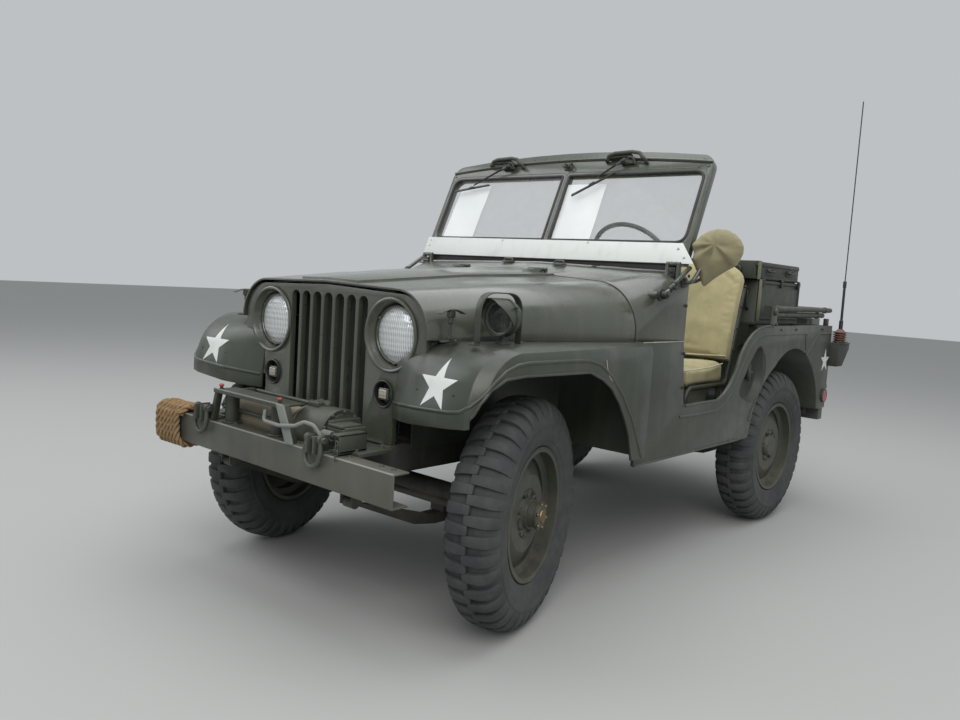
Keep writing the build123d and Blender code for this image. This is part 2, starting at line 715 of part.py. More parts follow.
def cowl():
    """Scuttle between hood and door openings, with the firewall, the instrument panel and hinge ears."""
    low_z = COWL_LOW_Z
    shape = solid_of(COWL_ROWS, low_z) - hollow_of(COWL_ROWS, low_z, COWL_WALL)
    wall = hood_section(COWL_FRONT_Y + 1, TUB_HALF - 38, low_z, 1189, 184, 26)
    shape += extrude(wall, amount=8, dir=(0, 1, 0))
    panel = hood_section(DOOR_FRONT_Y - 12, TUB_HALF - 6, 1010, 1232, 54, 12)
    shape += extrude(panel, amount=10, dir=(0, 1, 0))
    # Columns: distance of each ear's two faces from the hinge's middle
    for side in (1, -1):
        for near, far in ((-30, -18), (18, 30)):
            low, high = sorted((side * (HINGE_X + near), side * (HINGE_X + far)))
            shape += box((low, high), (WS_PIVOT_Y - 8.5, WS_PIVOT_Y + 8.5), (WS_PIVOT_Z - 84, WS_PIVOT_Z))
            shape += rod((low, WS_PIVOT_Y, WS_PIVOT_Z), (high, WS_PIVOT_Y, WS_PIVOT_Z), 8.5)
    bore = [(x, WS_PIVOT_Y, WS_PIVOT_Z) for x in (-HINGE_X - 35, HINGE_X + 35)]
    shape -= rod(*bore, HINGE_PIN_R + RUNNING_GAP)
    foot, top = column_ends()
    return shape + hood_ears() - rod(foot, top, COLUMN_R)


def lamp_guard():
    """Flat strap bent into a hoop over the blackout lamp, its ends on the fender's top."""
    low_y, high_y = GUARD_Y
    height = GUARD_TOP_Z - FENDER_TOP_Z + 3
    middle = Pos((low_y + high_y) / 2, GUARD_TOP_Z - height / 2)
    outer = Plane.YZ * middle * Rectangle(high_y - low_y, height)
    outer = fillet(outer.vertices().sort_by(Axis.Z)[2:], GUARD_BEND_R)
    inner = Plane.YZ * middle * Pos(0, -GUARD_STRAP) * Rectangle(high_y - low_y - 2 * GUARD_STRAP, height)
    inner = fillet(inner.vertices().sort_by(Axis.Z)[2:], GUARD_BEND_R - GUARD_STRAP)
    return Pos(BLACKOUT_X, 0, 0) * extrude(outer - inner, amount=GUARD_WIDTH / 2, both=True)


def fender_face(row, wall):
    """Side outline at one value of x, made smaller by the sheet for the inside."""
    x, crease, *shoulder, rear_top = row
    rear_y = COWL_FRONT_Y - 2 - wall
    low_z = FENDER_LOW_Z - 3 * wall
    crease_y, crease_z = crease[0] + wall, crease[1] - wall / 2
    start, middle, end = [(x, y + wall, z - wall) for y, z in shoulder]
    edges = Polyline((x, rear_y, low_z), (x, crease_y, low_z), (x, crease_y, crease_z), start)
    edges += ThreePointArc(start, middle, end)
    edges += Polyline(end, (x, rear_y, rear_top - wall), (x, rear_y, low_z))
    return make_face(edges)


def fender(side):
    outer = loft([fender_face(row, 0) for row in FENDER_ROWS], ruled=True)
    inside = [(row[0] - (1 if row is FENDER_ROWS[0] else FENDER_WALL),) + row[1:] for row in FENDER_ROWS]
    shape = outer - loft([fender_face(row, FENDER_WALL) for row in inside], ruled=True)
    # The wheel opening cuts the side only
    front_y = -1600
    low = [(front_y, 400), (front_y, ARCH_EDGE[0][1]), *ARCH_EDGE, (ARCH_EDGE[-1][0], 400)]
    shape -= side_plate(low, FENDER_HALF - 40, FENDER_HALF + 40)
    (in_x, in_z), (out_x, out_z) = LIP_EDGE
    shape -= front_plate([(in_x, in_z), (out_x, out_z), (out_x, 400), (in_x, 400)], front_y, -1250)
    # The inner end stands against the grille's face, and the top clears the lamp bell behind it
    shape -= box((300, GRILLE_HALF), (GRILLE_Y, GRILLE_Y + 76), (500, 1100))
    shape += box((FENDER_IN_X, FENDER_IN_X + 4), (GRILLE_Y + 76, COWL_FRONT_Y - 5), (575, FENDER_TOP_Z - 4))
    if side == 1:
        shape += lamp_guard()
    return shape if side == 1 else mirror(shape, about=Plane.YZ)


# Winch

def winch_frame():
    """Feet on the rails, fairlead posts with their top plate, and the end bearing."""
    bearing_x = DRUM_LOW_X - 0.3
    foot = box((-430, bearing_x - 15), WINCH_FOOT_Y, (RAIL_HIGH_Z, WINCH_FOOT_Z))
    foot += box((bearing_x - 15, bearing_x), (WINCH_Y - 50, WINCH_Y + 50), (RAIL_HIGH_Z - 32, WINCH_Z + 75))
    top = box((-262, 136), (-1602, -1515), (FAIRLEAD_TOP_Z, FAIRLEAD_TOP_Z + 7))
    for x in FAIRLEAD_POSTS:
        top += rod((x, FAIRLEAD_Y, 598), (x, FAIRLEAD_Y, FAIRLEAD_TOP_Z + 1), FAIRLEAD_R)
    # Sloping strips at the plate's ends, down to the bumper's top
    for points in (
        [(128, 712), (140, 712), (184, 606), (184, 598), (170, 598)],
        [(-240, 712), (-256, 712), (-288, 606), (-288, 598), (-272, 598)],
    ):
        top += front_plate(points, -1602, -1578)
    return [foot, top, box((285, 430), WINCH_FOOT_Y, (RAIL_HIGH_Z, WINCH_FOOT_Z))]


def winch_gearbox():
    """Round worm gear case with its clutch box, bolted to the left foot."""
    shape = rod((120, WINCH_Y, WINCH_Z), (255, WINCH_Y, WINCH_Z), GEAR_CASE_R)
    shape += rod((255, WINCH_Y, WINCH_Z), (268, WINCH_Y, WINCH_Z), 70)
    shape += box((268, 284.7), (WINCH_Y - 60, WINCH_Y + 60), (590, 680))
    shape += box((280, 360), (WINCH_Y - 60, WINCH_Y + 20), (606, 668))
    bumper_rear = BUMPER_FRONT_Y + BUMPER_DEPTH + RUNNING_GAP
    return shape - box((100, 400), (BUMPER_FRONT_Y, bumper_rear), (500, 598 + RUNNING_GAP))


def winch_drum():
    low, high = DRUM_LOW_X, DRUM_HIGH_X
    outline = [(0, low), (30, low), (30, -274), (72, -274), (72, -264), (58, -264)]
    outline += [(58, 90), (72, 90), (72, 100), (24, 100), (24, high), (0, high)]
    return lathe(outline, Pos(0, WINCH_Y, WINCH_Z))


# Windshield


def windshield_place():
    """Place of the windshield's front face, leaning back, with its lower edge as the local X axis."""
    return Pos(0, WS_FOOT_Y, WS_FOOT_Z) * Rot(-WS_LEAN_DEG, 0, 0)


def pane_outline(side):
    """Outline of one window, rounded at its outer corners, in the windshield's own plane."""
    width, height = PANE_OUT_X - PANE_IN_X, PANE_HIGH - PANE_LOW
    pane = Plane.XZ * Pos(side * (PANE_IN_X + width / 2), PANE_LOW + height / 2) * Rectangle(width, height)
    outer = pane.vertices().sort_by(Axis.X)[2:] if side == 1 else pane.vertices().sort_by(Axis.X)[:2]
    return fillet(outer, PANE_CORNER_R)


def windshield_frame():
    """Frame with a crowned top, rounded corners and two windows, on its hinge barrels and pins."""
    left, right = (WS_HALF, 0, WS_SIDE_HEIGHT), (-WS_HALF, 0, WS_SIDE_HEIGHT)
    edges = Polyline(right, (-WS_HALF, 0, 0), (WS_HALF, 0, 0), left)
    edges += ThreePointArc(left, (0, 0, WS_HEIGHT), right)
    outline = make_face(edges)
    outline = fillet(outline.vertices().sort_by(Axis.Z)[2:], WS_CORNER_R)
    frame = extrude(outline, amount=WS_DEPTH, dir=(0, 1, 0))
    for side in (1, -1):
        frame -= Pos(0, -5, 0) * extrude(pane_outline(side), amount=WS_DEPTH + 10, dir=(0, 1, 0))
    frame = windshield_place() * frame
    for side in (1, -1):
        low, high = sorted((side * (HINGE_X - 15), side * (HINGE_X + 15)))
        frame += rod((low, WS_PIVOT_Y, WS_PIVOT_Z), (high, WS_PIVOT_Y, WS_PIVOT_Z), 9)
        frame += box((low, high), (WS_PIVOT_Y, WS_FOOT_Y + 6), (WS_PIVOT_Z - 4, WS_PIVOT_Z + 8))
        low, high = sorted((side * (HINGE_X - 29), side * (HINGE_X + 29)))
        frame += rod((low, WS_PIVOT_Y, WS_PIVOT_Z), (high, WS_PIVOT_Y, WS_PIVOT_Z), HINGE_PIN_R)
    return frame


def windshield_glass():
    place = windshield_place() * Pos(0, 14, 0)
    return [place * extrude(pane_outline(side), amount=6, dir=(0, 1, 0)) for side in (1, -1)]


# Body

def arch_face(x, grow):
    """Rear wheel opening at one value of x, grown all round by the sheet of the wheel house."""
    edges = Line((x, 604, 400), (x, 604, 470))
    edges += ThreePointArc((x, 604, 470), (x, 696, 682), (x, 860, 806))
    edges += ThreePointArc((x, 860, 806), (x, 1120, 892), (x, 1400, 770))
    edges += ThreePointArc((x, 1400, 770), (x, 1482, 662), (x, 1516, 533))
    edges += Line((x, 1516, 533), (x, 1516, 400))
    edges += Line((x, 1516, 400), (x, 604, 400))
    face = make_face(edges)
    return offset(face, amount=grow, kind=Kind.INTERSECTION) if grow else face


def arch_solid(x_low, x_high, grow):
    return extrude(arch_face(x_low, grow), amount=x_high - x_low, dir=(1, 0, 0))


def tub_side():
    """Left side panel: the door opening's edge drops in two arcs to the sill."""
    x = TUB_HALF - SHEET
    top = [(COWL_FRONT_Y, COWL_LOW_Z), (DOOR_FRONT_Y, COWL_LOW_Z), (-78, 700)]
    top += [(-62, SILL_HIGH_Z), (240, SILL_HIGH_Z)]
    edges = Polyline(*[(x, y, z) for y, z in top])
    edges += ThreePointArc((x, 240, SILL_HIGH_Z), (x, 354, 742), (x, 422, 826))
    edges += ThreePointArc((x, 422, 826), (x, 528, 950), (x, 700, TUB_TOP_Z))
    rest = [(700, TUB_TOP_Z), (TUB_REAR_Y, TUB_TOP_Z), (TUB_REAR_Y, 546), (1490, 546), (1490, SILL_LOW_Z),
            (COWL_FRONT_Y, SILL_LOW_Z), (COWL_FRONT_Y, COWL_LOW_Z)]
    edges += Polyline(*[(x, y, z) for y, z in rest])
    shape = extrude(make_face(edges), amount=SHEET, dir=(1, 0, 0))
    # Rolled edge along the top of the rear quarter
    shape += box((TUB_HALF - 46, TUB_HALF), (700, TUB_REAR_Y), (TUB_TOP_Z - SHEET, TUB_TOP_Z))
    return shape - arch_solid(x - 5, TUB_HALF + 5, 0)


def tub():
    """Open body: floor, sides, wheel houses and rear panel."""
    side = tub_side()
    shape = side + mirror(side, about=Plane.YZ)
    inner = TUB_HALF - SHEET
    shape += box((-inner, inner), (COWL_FRONT_Y + 10, TUB_REAR_Y - SHEET), (FLOOR_Z, FLOOR_Z + SHEET))
    # Toe board below the firewall
    shape += box((-inner, inner), (COWL_FRONT_Y, COWL_FRONT_Y + SHEET), (FLOOR_Z, COWL_LOW_Z))
    shape += box((-TUB_HALF, TUB_HALF), (TUB_REAR_Y - SHEET, TUB_REAR_Y), (546, TUB_TOP_Z))
    for way in (1, -1):
        low, high = sorted((way * ARCH_IN_X, way * inner))
        house = arch_solid(low, high, SHEET)
        shape += house
    for way in (1, -1):
        low, high = sorted((way * (ARCH_IN_X + SHEET), way * (inner + 30)))
        shape -= arch_solid(low, high, 0)
    shape -= box((-TUB_HALF - 75, TUB_HALF + 75), (500, 1488), (300, SILL_LOW_Z))
    return shape


def seat_frames():
    """Tube frames of the two front seats, standing on the floor."""
    pieces = []
    for side in (1, -1):
        floor = FLOOR_Z + SHEET
        rows = []
        for x in SEAT_X:
            route = [(255, floor), (255, 712), SEAT_BEND, SEAT_TOP]
            rows.append(bent_tube([(side * x, y, z) for y, z in route], [50, 40], SEAT_TUBE_R))
            rows.append(rod((side * x, 590, floor), (side * x, 590, 712), 11))
        shape = rows[0] + rows[1] + rows[2] + rows[3]
        for y, z in ((320, SEAT_BEND[1]), (570, SEAT_BEND[1]), (765, 1140)):
            shape += rod((side * SEAT_X[0], y, z), (side * SEAT_X[1], y, z), 10)
        pieces.append(shape)
    return pieces


def seat_cushions():
    pieces = []
    for side in (1, -1):
        low, high = sorted((side * CUSHION_X[0], side * CUSHION_X[1]))
        pad = box((low, high), CUSHION_Y, CUSHION_Z)
        pieces.append(fillet(pad.edges(), 22))
    return pieces


def seat_backs():
    """Padded backs, with rounded top corners, in front of the seat frames."""
    pieces = []
    for side in (1, -1):
        middle = side * sum(CUSHION_X) / 2
        outline = Plane.XZ * Pos(middle, BACK_HEIGHT / 2) * Rectangle(BACK_WIDTH, BACK_HEIGHT)
        outline = fillet(outline.vertices().sort_by(Axis.Z)[2:], 90)
        pad = extrude(outline, amount=BACK_DEPTH, dir=(0, -1, 0))
        pad = fillet(pad.edges().filter_by(Axis.Y, reverse=True), 12)
        rise = BACK_FOOT_Z - SEAT_BEND[1]
        lean = math.atan2(SEAT_TOP[0] - SEAT_BEND[0], SEAT_TOP[1] - SEAT_BEND[1])
        rear_y = SEAT_BEND[0] + rise * math.tan(lean) - SEAT_TUBE_R / math.cos(lean)
        pieces.append(Pos(0, rear_y - 0.05, BACK_FOOT_Z) * Rot(-math.degrees(lean), 0, 0) * pad)
    return pieces


def rear_seat():
    """Bench on the car's right and middle, behind the front seats."""
    low, high = REAR_SEAT_X
    cushion = box((low, high), (1140, 1500), (740, 800))
    back = box((low, high), (1500, 1560), (800, 1080))
    shape = fillet(cushion.edges(), 14) + fillet(back.edges(), 14)
    for x in (low + 15, high - 40):
        shape += box((x, x + 20), (1180, 1480), (FLOOR_Z + SHEET, 740))
    # Bars across, below the cushion's front and behind it
    bars = (low + 15, high - 20)
    return shape + box(bars, (1180, 1190), (700, 712)) + box(bars, (1500, 1512), (700, 810))


def radio_set():
    """Two radio cases on a rack over the left wheel house."""
    low_x, high_x = RADIO_X
    shape = box(RADIO_X, RADIO_LOW_Y, (RADIO_RACK_Z, RADIO_SPLIT_Z))
    shape += box(RADIO_X, RADIO_HIGH_Y, (RADIO_SPLIT_Z + 4, RADIO_TOP_Z))
    shape += box(RADIO_X, (850, 1440), (RADIO_RACK_Z - 18, RADIO_RACK_Z))
    for y in (870, 1370):
        shape += box((low_x + 10, high_x - 10), (y, y + 10), (RADIO_SPLIT_Z, RADIO_SPLIT_Z + 4))
    # Legs: the outer pair stands on the wheel house
    for x, foot in ((low_x + 10, FLOOR_Z + SHEET), (high_x - 30, 905.5)):
        for y in (870, 1400):
            shape += box((x, x + 20), (y, y + 20), (foot, RADIO_RACK_Z - 18))
    return shape


def along_column(distance):
    """Point on the steering column's centre line, down from the wheel's hub."""
    x, y, z = WHEEL_HUB
    return (x, y - distance * math.cos(COLUMN_SLOPE), z - distance * math.sin(COLUMN_SLOPE))


def column_ends():
    return along_column(COLUMN_LENGTH), along_column(21.3)


def steering_parts():
    foot, top = column_ends()
    column = rod(foot, top, COLUMN_R)
    place = Pos(*WHEEL_HUB) * Rot(-55, 0, 0)
    wheel = place * Torus(STEERING_WHEEL_R, 11)
    spoke = Pos(STEERING_WHEEL_R / 2, 0, 0) * Box(STEERING_WHEEL_R, 26, 9)
    for i in range(3):
        wheel += place * Rot(0, 0, 120 * i + 90) * spoke
    wheel += place * Cylinder(34, 42)
    return column, wheel


def top_bows():
    """Two bows of the canvas top, folded down along the body's top edge, with their pivot pins."""
    shapes = None
    for reach, z, half in ((1714, 1092, TUB_HALF - 25), (1626, 1062, TUB_HALF - 35)):
        path = [(half, BOW_PIVOT_Y, z), (half, reach, z), (-half, reach, z), (-half, BOW_PIVOT_Y, z)]
        bow = bent_tube(path, [BOW_BEND_R, BOW_BEND_R], BOW_TUBE_R)
        shapes = bow if shapes is None else shapes + bow
    for side in (1, -1):
        shapes += box(sorted((side * (BRACKET_X - 40), side * (BRACKET_X - RUNNING_GAP))),
                      (BOW_PIVOT_Y - 22, BOW_PIVOT_Y + 22), (BOW_PIVOT_Z - 30, BOW_PIVOT_Z + 30))
        pin = [(side * x, BOW_PIVOT_Y, BOW_PIVOT_Z) for x in (BRACKET_X - 20, TUB_HALF - 1)]
        shapes += rod(*pin, BOW_PIN_R)
    return shapes


def bow_brackets():
    shapes = []
    for side in (1, -1):
        post = box(sorted((side * BRACKET_X, side * (TUB_HALF - 1))), (BOW_PIVOT_Y - 30, BOW_PIVOT_Y + 30),
                   (TUB_TOP_Z - 2, BOW_PIVOT_Z + 24))
        hole = [(side * x, BOW_PIVOT_Y, BOW_PIVOT_Z) for x in (BRACKET_X - 5, TUB_HALF + 5)]
        shapes.append(post - rod(*hole, BOW_PIN_R + RUNNING_GAP))
    return shapes


def antenna():
    """Bracket with its insulator at the left rear corner, and the whip that leans in slightly."""
    x = TUB_HALF + 13
    y = TUB_REAR_Y + 105
    base = box((TUB_HALF - 49, TUB_HALF + 45), (TUB_REAR_Y, TUB_REAR_Y + 190), (782, 910))
    insulator = rod((x, y, 910), (x, y, WHIP_FOOT_Z), 30)
    whip = rod((x, y, WHIP_FOOT_Z + 0.2), (x - 4, y + 2, WHIP_BEND_Z), 7)
    whip += rod((x - 4, y + 2, WHIP_BEND_Z), (x - 10, y + 7, WHIP_TOP_Z), 3)
    return base + insulator, whip


def fuel_can():
    """Flat-sided can with three handles, and the tray that holds it on the rear panel."""
    low_z, top_z = CAN_Z
    grip_y = (TUB_REAR_Y + 60, TUB_REAR_Y + 130)
    can = box(CAN_X, (TUB_REAR_Y + 11, TUB_REAR_Y + 176), CAN_Z)
    can = fillet(can.edges().filter_by(Axis.Z), 24)
    for x in [CAN_X[0] + 75 + 80 * i for i in range(3)]:
        can += rod((x + 6, grip_y[0], top_z + 24), (x + 6, grip_y[1], top_z + 24), 8)
        can += box((x, x + 12), grip_y, (top_z - 2, top_z + 24))
    tray_x = (CAN_X[0] - 10, CAN_X[1] + 10)
    tray = box(tray_x, (TUB_REAR_Y, TUB_REAR_Y + 187), (low_z - 11, low_z))
    return can, tray + box(tray_x, (TUB_REAR_Y, TUB_REAR_Y + 11), (low_z, low_z + 39))


def rear_bumpers():
    """Two short bumpers, the tow hook between them and the spare wheel's carrier."""
    pieces = []
    for side in (1, -1):
        low, high = sorted((side * (TUB_HALF - 325), side * (TUB_HALF - 25)))
        pieces.append(box((low, high), (RAIL_REAR_Y, RAIL_REAR_Y + 64), (RAIL_LOW_Z - 30, 546)))
    hook = box((-50, 50), (TUB_REAR_Y, TUB_REAR_Y + 14), (TOW_EYE_Z - 32, TOW_EYE_Z + 48))
    hook += rod((0, TUB_REAR_Y, TOW_EYE_Z), (0, TUB_REAR_Y + 62, TOW_EYE_Z), 20)
    eye_y = TUB_REAR_Y + 96
    hook += rod((-TOW_EYE_HALF, eye_y, TOW_EYE_Z), (TOW_EYE_HALF, eye_y, TOW_EYE_Z), TOW_EYE_R + 22)
    hook -= rod((-TOW_EYE_HALF - 1, eye_y, TOW_EYE_Z), (TOW_EYE_HALF + 1, eye_y, TOW_EYE_Z), TOW_EYE_R)
    pieces.append(hook)
    pieces.append(rod((SPARE_X, TUB_REAR_Y, SPARE_Z), (SPARE_X, SPARE_Y + HUB_BACK_X, SPARE_Z), 60))
    return pieces


def rear_lamps():
    """Round tail lamps on the rear panel and round reflectors on the sides."""
    pieces = []
    y, z = REFLECTOR_PLACE
    for side in (1, -1):
        place = Pos(side * (TUB_HALF - 57), TUB_REAR_Y, TAIL_LAMP_Z) * Rot(0, 0, 90)
        pieces.append(lathe([(0, 0), (42, 0), (48, 12), (48, 40), (0, 46)], place))
        pieces.append(rod((side * TUB_HALF, y, z), (side * (TUB_HALF + 10), y, z), 38))
    return pieces


def mirror_parts():
    """Bent arm of the side mirror, and the mirror's canvas cover round its end."""
    route = [(MIRROR_FOOT_X, -148, 1180), (TUB_HALF + 27, -148, 1184), (TUB_HALF + 65, -95, 1300)]
    arm = bent_tube(route, [20], 8)
    # Columns: x outside the body's side, z
    points = [(14, 1260), (45, 1170), (75, 1155), (200, 1245), (205, 1300), (175, 1370), (115, 1395)]
    points += [(50, 1385), (2, 1355)]
    cover = front_plate([(TUB_HALF + x, z) for x, z in points], -150, -40)
    cover = fillet(cover.edges().filter_by(Axis.Y, reverse=True), 20)
    return arm, cover - arm


def struts():
    """Rods that hold the windshield up, each with a cross pin into the cowl."""
    (low_y, high_y), (low_z, high_z) = STRUT_Y, STRUT_Z
    pieces = []
    for side in (1, -1):
        x = side * (TUB_HALF + 13)
        pin = [(side * (TUB_HALF + reach), low_y, low_z) for reach in (-54, 26)]
        pieces.append(rod((x, low_y, low_z), (x, high_y, high_z), 9) + rod(*pin, 12))
    return pieces


def main():
    os.makedirs("parts", exist_ok=True)
    wheels()
    save_steering()
    save("chassis_frame", chassis())
    save("leaf_springs", *leaf_springs())
    save("front_axle", front_axle())
    save("rear_axle", rear_axle())
    save("shock_absorbers", *shock_absorbers())
    save("propshafts", *propshafts())
    save("engine", engine())
    save("transfer_case", transfer_case())
    save("radiator", radiator())
    save("exhaust", exhaust())
    save("front_bumper", *front_bumper())
    save("rope_coil", rope_coil())
    save("grille", grille())
    save("front_lamps", *front_lamps())
    save("hood", hood())
    arm, cover = mirror_parts()
    save("cowl", cowl() + arm + struts())
    save("fenders", fender(1), fender(-1))
    save("winch_frame", *winch_frame())
    save("winch_gearbox", winch_gearbox())
    save("winch_drum", winch_drum())
    save("windshield_frame", windshield_frame())
    save("windshield_glass", *windshield_glass())
    can, tray = fuel_can()
    save("fuel_can", can)
    save("tub", tub() + tray + bow_brackets())
    save("seat_frames", *seat_frames())
    save("seat_cushions", *seat_cushions())
    save("seat_backs", *seat_backs())
    save("rear_seat", rear_seat())
    save("radio_set", radio_set())
    column, wheel = steering_parts()
    save("steering_column", column)
    save("steering_wheel", wheel)
    save("top_bows", top_bows())
    mount, whip = antenna()
    save("antenna_mount", mount)
    save("antenna_whip", whip)
    save("rear_bumpers", *rear_bumpers())
    save("rear_lamps", *rear_lamps())
    save("mirror_cover", cover)


main()
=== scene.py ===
"""Looks of an open army 4x4 car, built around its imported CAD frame.

Places are given in millimetres from the point on the ground midway between the axles, with X to the
car's left, Y to its rear and Z up. at() turns them into the frame's metres.
"""

import math
import random

import bmesh
import bpy
from mathutils import Matrix, Vector


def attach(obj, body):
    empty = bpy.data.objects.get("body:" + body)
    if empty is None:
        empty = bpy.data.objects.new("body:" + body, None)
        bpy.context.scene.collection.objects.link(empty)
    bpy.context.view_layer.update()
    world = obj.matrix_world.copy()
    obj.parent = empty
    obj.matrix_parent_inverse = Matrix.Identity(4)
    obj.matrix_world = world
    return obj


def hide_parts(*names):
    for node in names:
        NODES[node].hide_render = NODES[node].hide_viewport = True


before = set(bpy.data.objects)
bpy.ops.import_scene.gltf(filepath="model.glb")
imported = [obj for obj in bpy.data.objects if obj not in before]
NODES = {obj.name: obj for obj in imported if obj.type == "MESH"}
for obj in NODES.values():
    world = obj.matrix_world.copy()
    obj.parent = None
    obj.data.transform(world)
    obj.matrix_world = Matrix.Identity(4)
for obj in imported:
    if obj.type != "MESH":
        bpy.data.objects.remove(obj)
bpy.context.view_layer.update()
MM = 0.001

# Places of the part in millimetres, and its angles
BOX_MIDDLE = (67, 146)
FRONT_AXLE_Y = -1028.5
REAR_AXLE_Y = 1028.5
KINGPIN_X = 560
WHEEL_OUT = 64
HUB_Z = 386
STEER = math.radians(15.5)
TUB_HALF = 725
TUB_REAR_Y = 1650
GRILLE_Y = -1336
FENDER_TOP_Z = 948
BUMPER_Y = -1605
LAMP_X, LAMP_Z = 324, 949
MARKER_X, MARKER_Z = 303, 755
BLACKOUT_X, BLACKOUT_Y, BLACKOUT_Z = 640, -1190, 1030
GUARD_Y = (-1283, -1080)
GUARD_TOP_Z = 1108
GUARD_STRAP = 4
GUARD_WIDTH = 24
FENDER_SIDE_X = 772.5
BUMPER_DEEP = 62
BUMPER_Z = (496, 598)
SHACKLE_X = 314
WINCH_Y, WINCH_Z = -1470, 625
CLUTCH_Y, CLUTCH_Z = -1560, 644
STRUT_X, STRUT_FOOT = 738, (-335, 1128)
DASH_Y = -120
WHEEL_HUB = (241, 245, 1269)
WHEEL_R = 200
COLUMN_TILT = math.radians(-55)
BACK_LEAN = 0.2415
SPARE_X, SPARE_Z = -330, 800
SIDES = (1, -1)
SAME_POINT = 1e-5


def at(x, y, z):
    return Vector(((x - BOX_MIDDLE[0]) * MM, (y - BOX_MIDDLE[1]) * MM, z * MM))


def size(*values):
    return Vector(values) * MM


# Camera of the photograph: level angles in degrees, focal length for 36 mm of film
CAMERA_PLACE = (2249, -3128, 1146)
CAMERA_YAW, CAMERA_PITCH, CAMERA_ROLL = 40.74, -5.66, 3.67
CAMERA_LENS = 30.75


def add_camera():
    yaw, pitch, roll = (math.radians(a) for a in (CAMERA_YAW, CAMERA_PITCH, CAMERA_ROLL))
    forward = Vector((-math.sin(yaw) * math.cos(pitch), math.cos(yaw) * math.cos(pitch), math.sin(pitch)))
    right = Vector((math.cos(yaw), math.sin(yaw), 0))
    up = right.cross(forward)
    level = Matrix((right, up, -forward)).transposed()
    turn = Matrix.Rotation(roll, 3, "Z")
    bpy.ops.object.camera_add()
    camera = bpy.context.object
    camera.name = "camera"
    camera.matrix_world = Matrix.Translation(at(*CAMERA_PLACE)) @ (level @ turn).to_4x4()
    camera.data.sensor_width = 36
    camera.data.lens = CAMERA_LENS
    bpy.context.scene.camera = camera


add_camera()


# Shader maths: a value with arithmetic, and a shader that adds nodes


def operator(kind, swapped=False):
    """Method that adds a Math node; the swapped one takes its own value second."""
    def apply(self, other):
        first, second = (other, self) if swapped else (self, other)
        return self.shader.node("ShaderNodeMath", {"operation": kind}, {0: first, 1: second})
    return apply


class Value:
    """One output of a node, a colour or a number, with arithmetic that adds Math nodes."""

    def __init__(self, shader, link):
        self.shader = shader
        self.link = link

    __add__, __radd__ = operator("ADD"), operator("ADD", True)
    __sub__, __rsub__ = operator("SUBTRACT"), operator("SUBTRACT", True)
    __mul__, __rmul__ = operator("MULTIPLY"), operator("MULTIPLY", True)
    high = operator("MAXIMUM")

    def wave(self):
        return self.shader.node("ShaderNodeMath", {"operation": "SINE"}, {0: self, 1: 0.0})


class Shader:
    """A material, its surface node and one way to add any other node."""

    def __init__(self, name):
        self.material = bpy.data.materials.new(name)
        self.material.use_nodes = True
        self.tree = self.material.node_tree
        self.surface = self.tree.nodes["Principled BSDF"]

    def node(self, kind, settings=None, values=None, output=0):
        node = self.tree.nodes.new(kind)
        for key, value in (settings or {}).items():
            if key == "stops":
                ramp = node.color_ramp
                while len(ramp.elements) < len(value):
                    ramp.elements.new(0.5)
                for element, (place, colour) in zip(ramp.elements, value):
                    element.position = place
                    element.color = colour
            else:
                setattr(node, key, value)
        for key, value in (values or {}).items():
            self.feed(node.inputs[key], value)
        return Value(self, node.outputs[output])

    def feed(self, socket, value):
        if isinstance(value, Value):
            self.tree.links.new(value.link, socket)
        else:
            socket.default_value = value

    def set(self, **values):
        for name, value in values.items():
            self.feed(self.surface.inputs[name.replace("_", " ")], value)
        return self.material

    def place(self):
        return self.node("ShaderNodeTexCoord", output=3)

    def noise(self, scale, detail=4.0, rough=0.55, vector=None, warp=0.0):
        return self.node("ShaderNodeTexNoise", None, {
            "Vector": vector or self.place(), "Scale": scale, "Detail": detail, "Roughness": rough,
            "Distortion": warp})

    def ramp(self, value, low, high, start=0.0, end=1.0):
        """A number that goes from start to end as value goes from low to high."""
        return self.node("ShaderNodeMapRange", {"clamp": True}, {
            "Value": value, "From Min": low, "From Max": high, "To Min": start, "To Max": end})

    def mix(self, share, first, second):
        return self.node("ShaderNodeMix", {"data_type": "RGBA"}, {0: share, 6: first, 7: second}, output=2)

    def bump(self, height, strength, distance, normal=None):
        values = {"Height": height, "Strength": strength, "Distance": distance}
        if normal:
            values["Normal"] = normal
        return self.node("ShaderNodeBump", None, values)

    def axis(self, name):
        return self.node("ShaderNodeSeparateXYZ", None, {0: self.place()}, output="XYZ".index(name))

    def facing_up(self):
        normal = self.node("ShaderNodeNewGeometry", None, None, output=1)
        return self.node("ShaderNodeSeparateXYZ", None, {0: normal}, output=2)


def shade(red, green, blue):
    return (red, green, blue, 1.0)


def tint(colour, share):
    return shade(*(c * share for c in colour[:3]))


DUST = shade(0.17, 0.15, 0.115)
BARE_STEEL = shade(0.16, 0.155, 0.145)


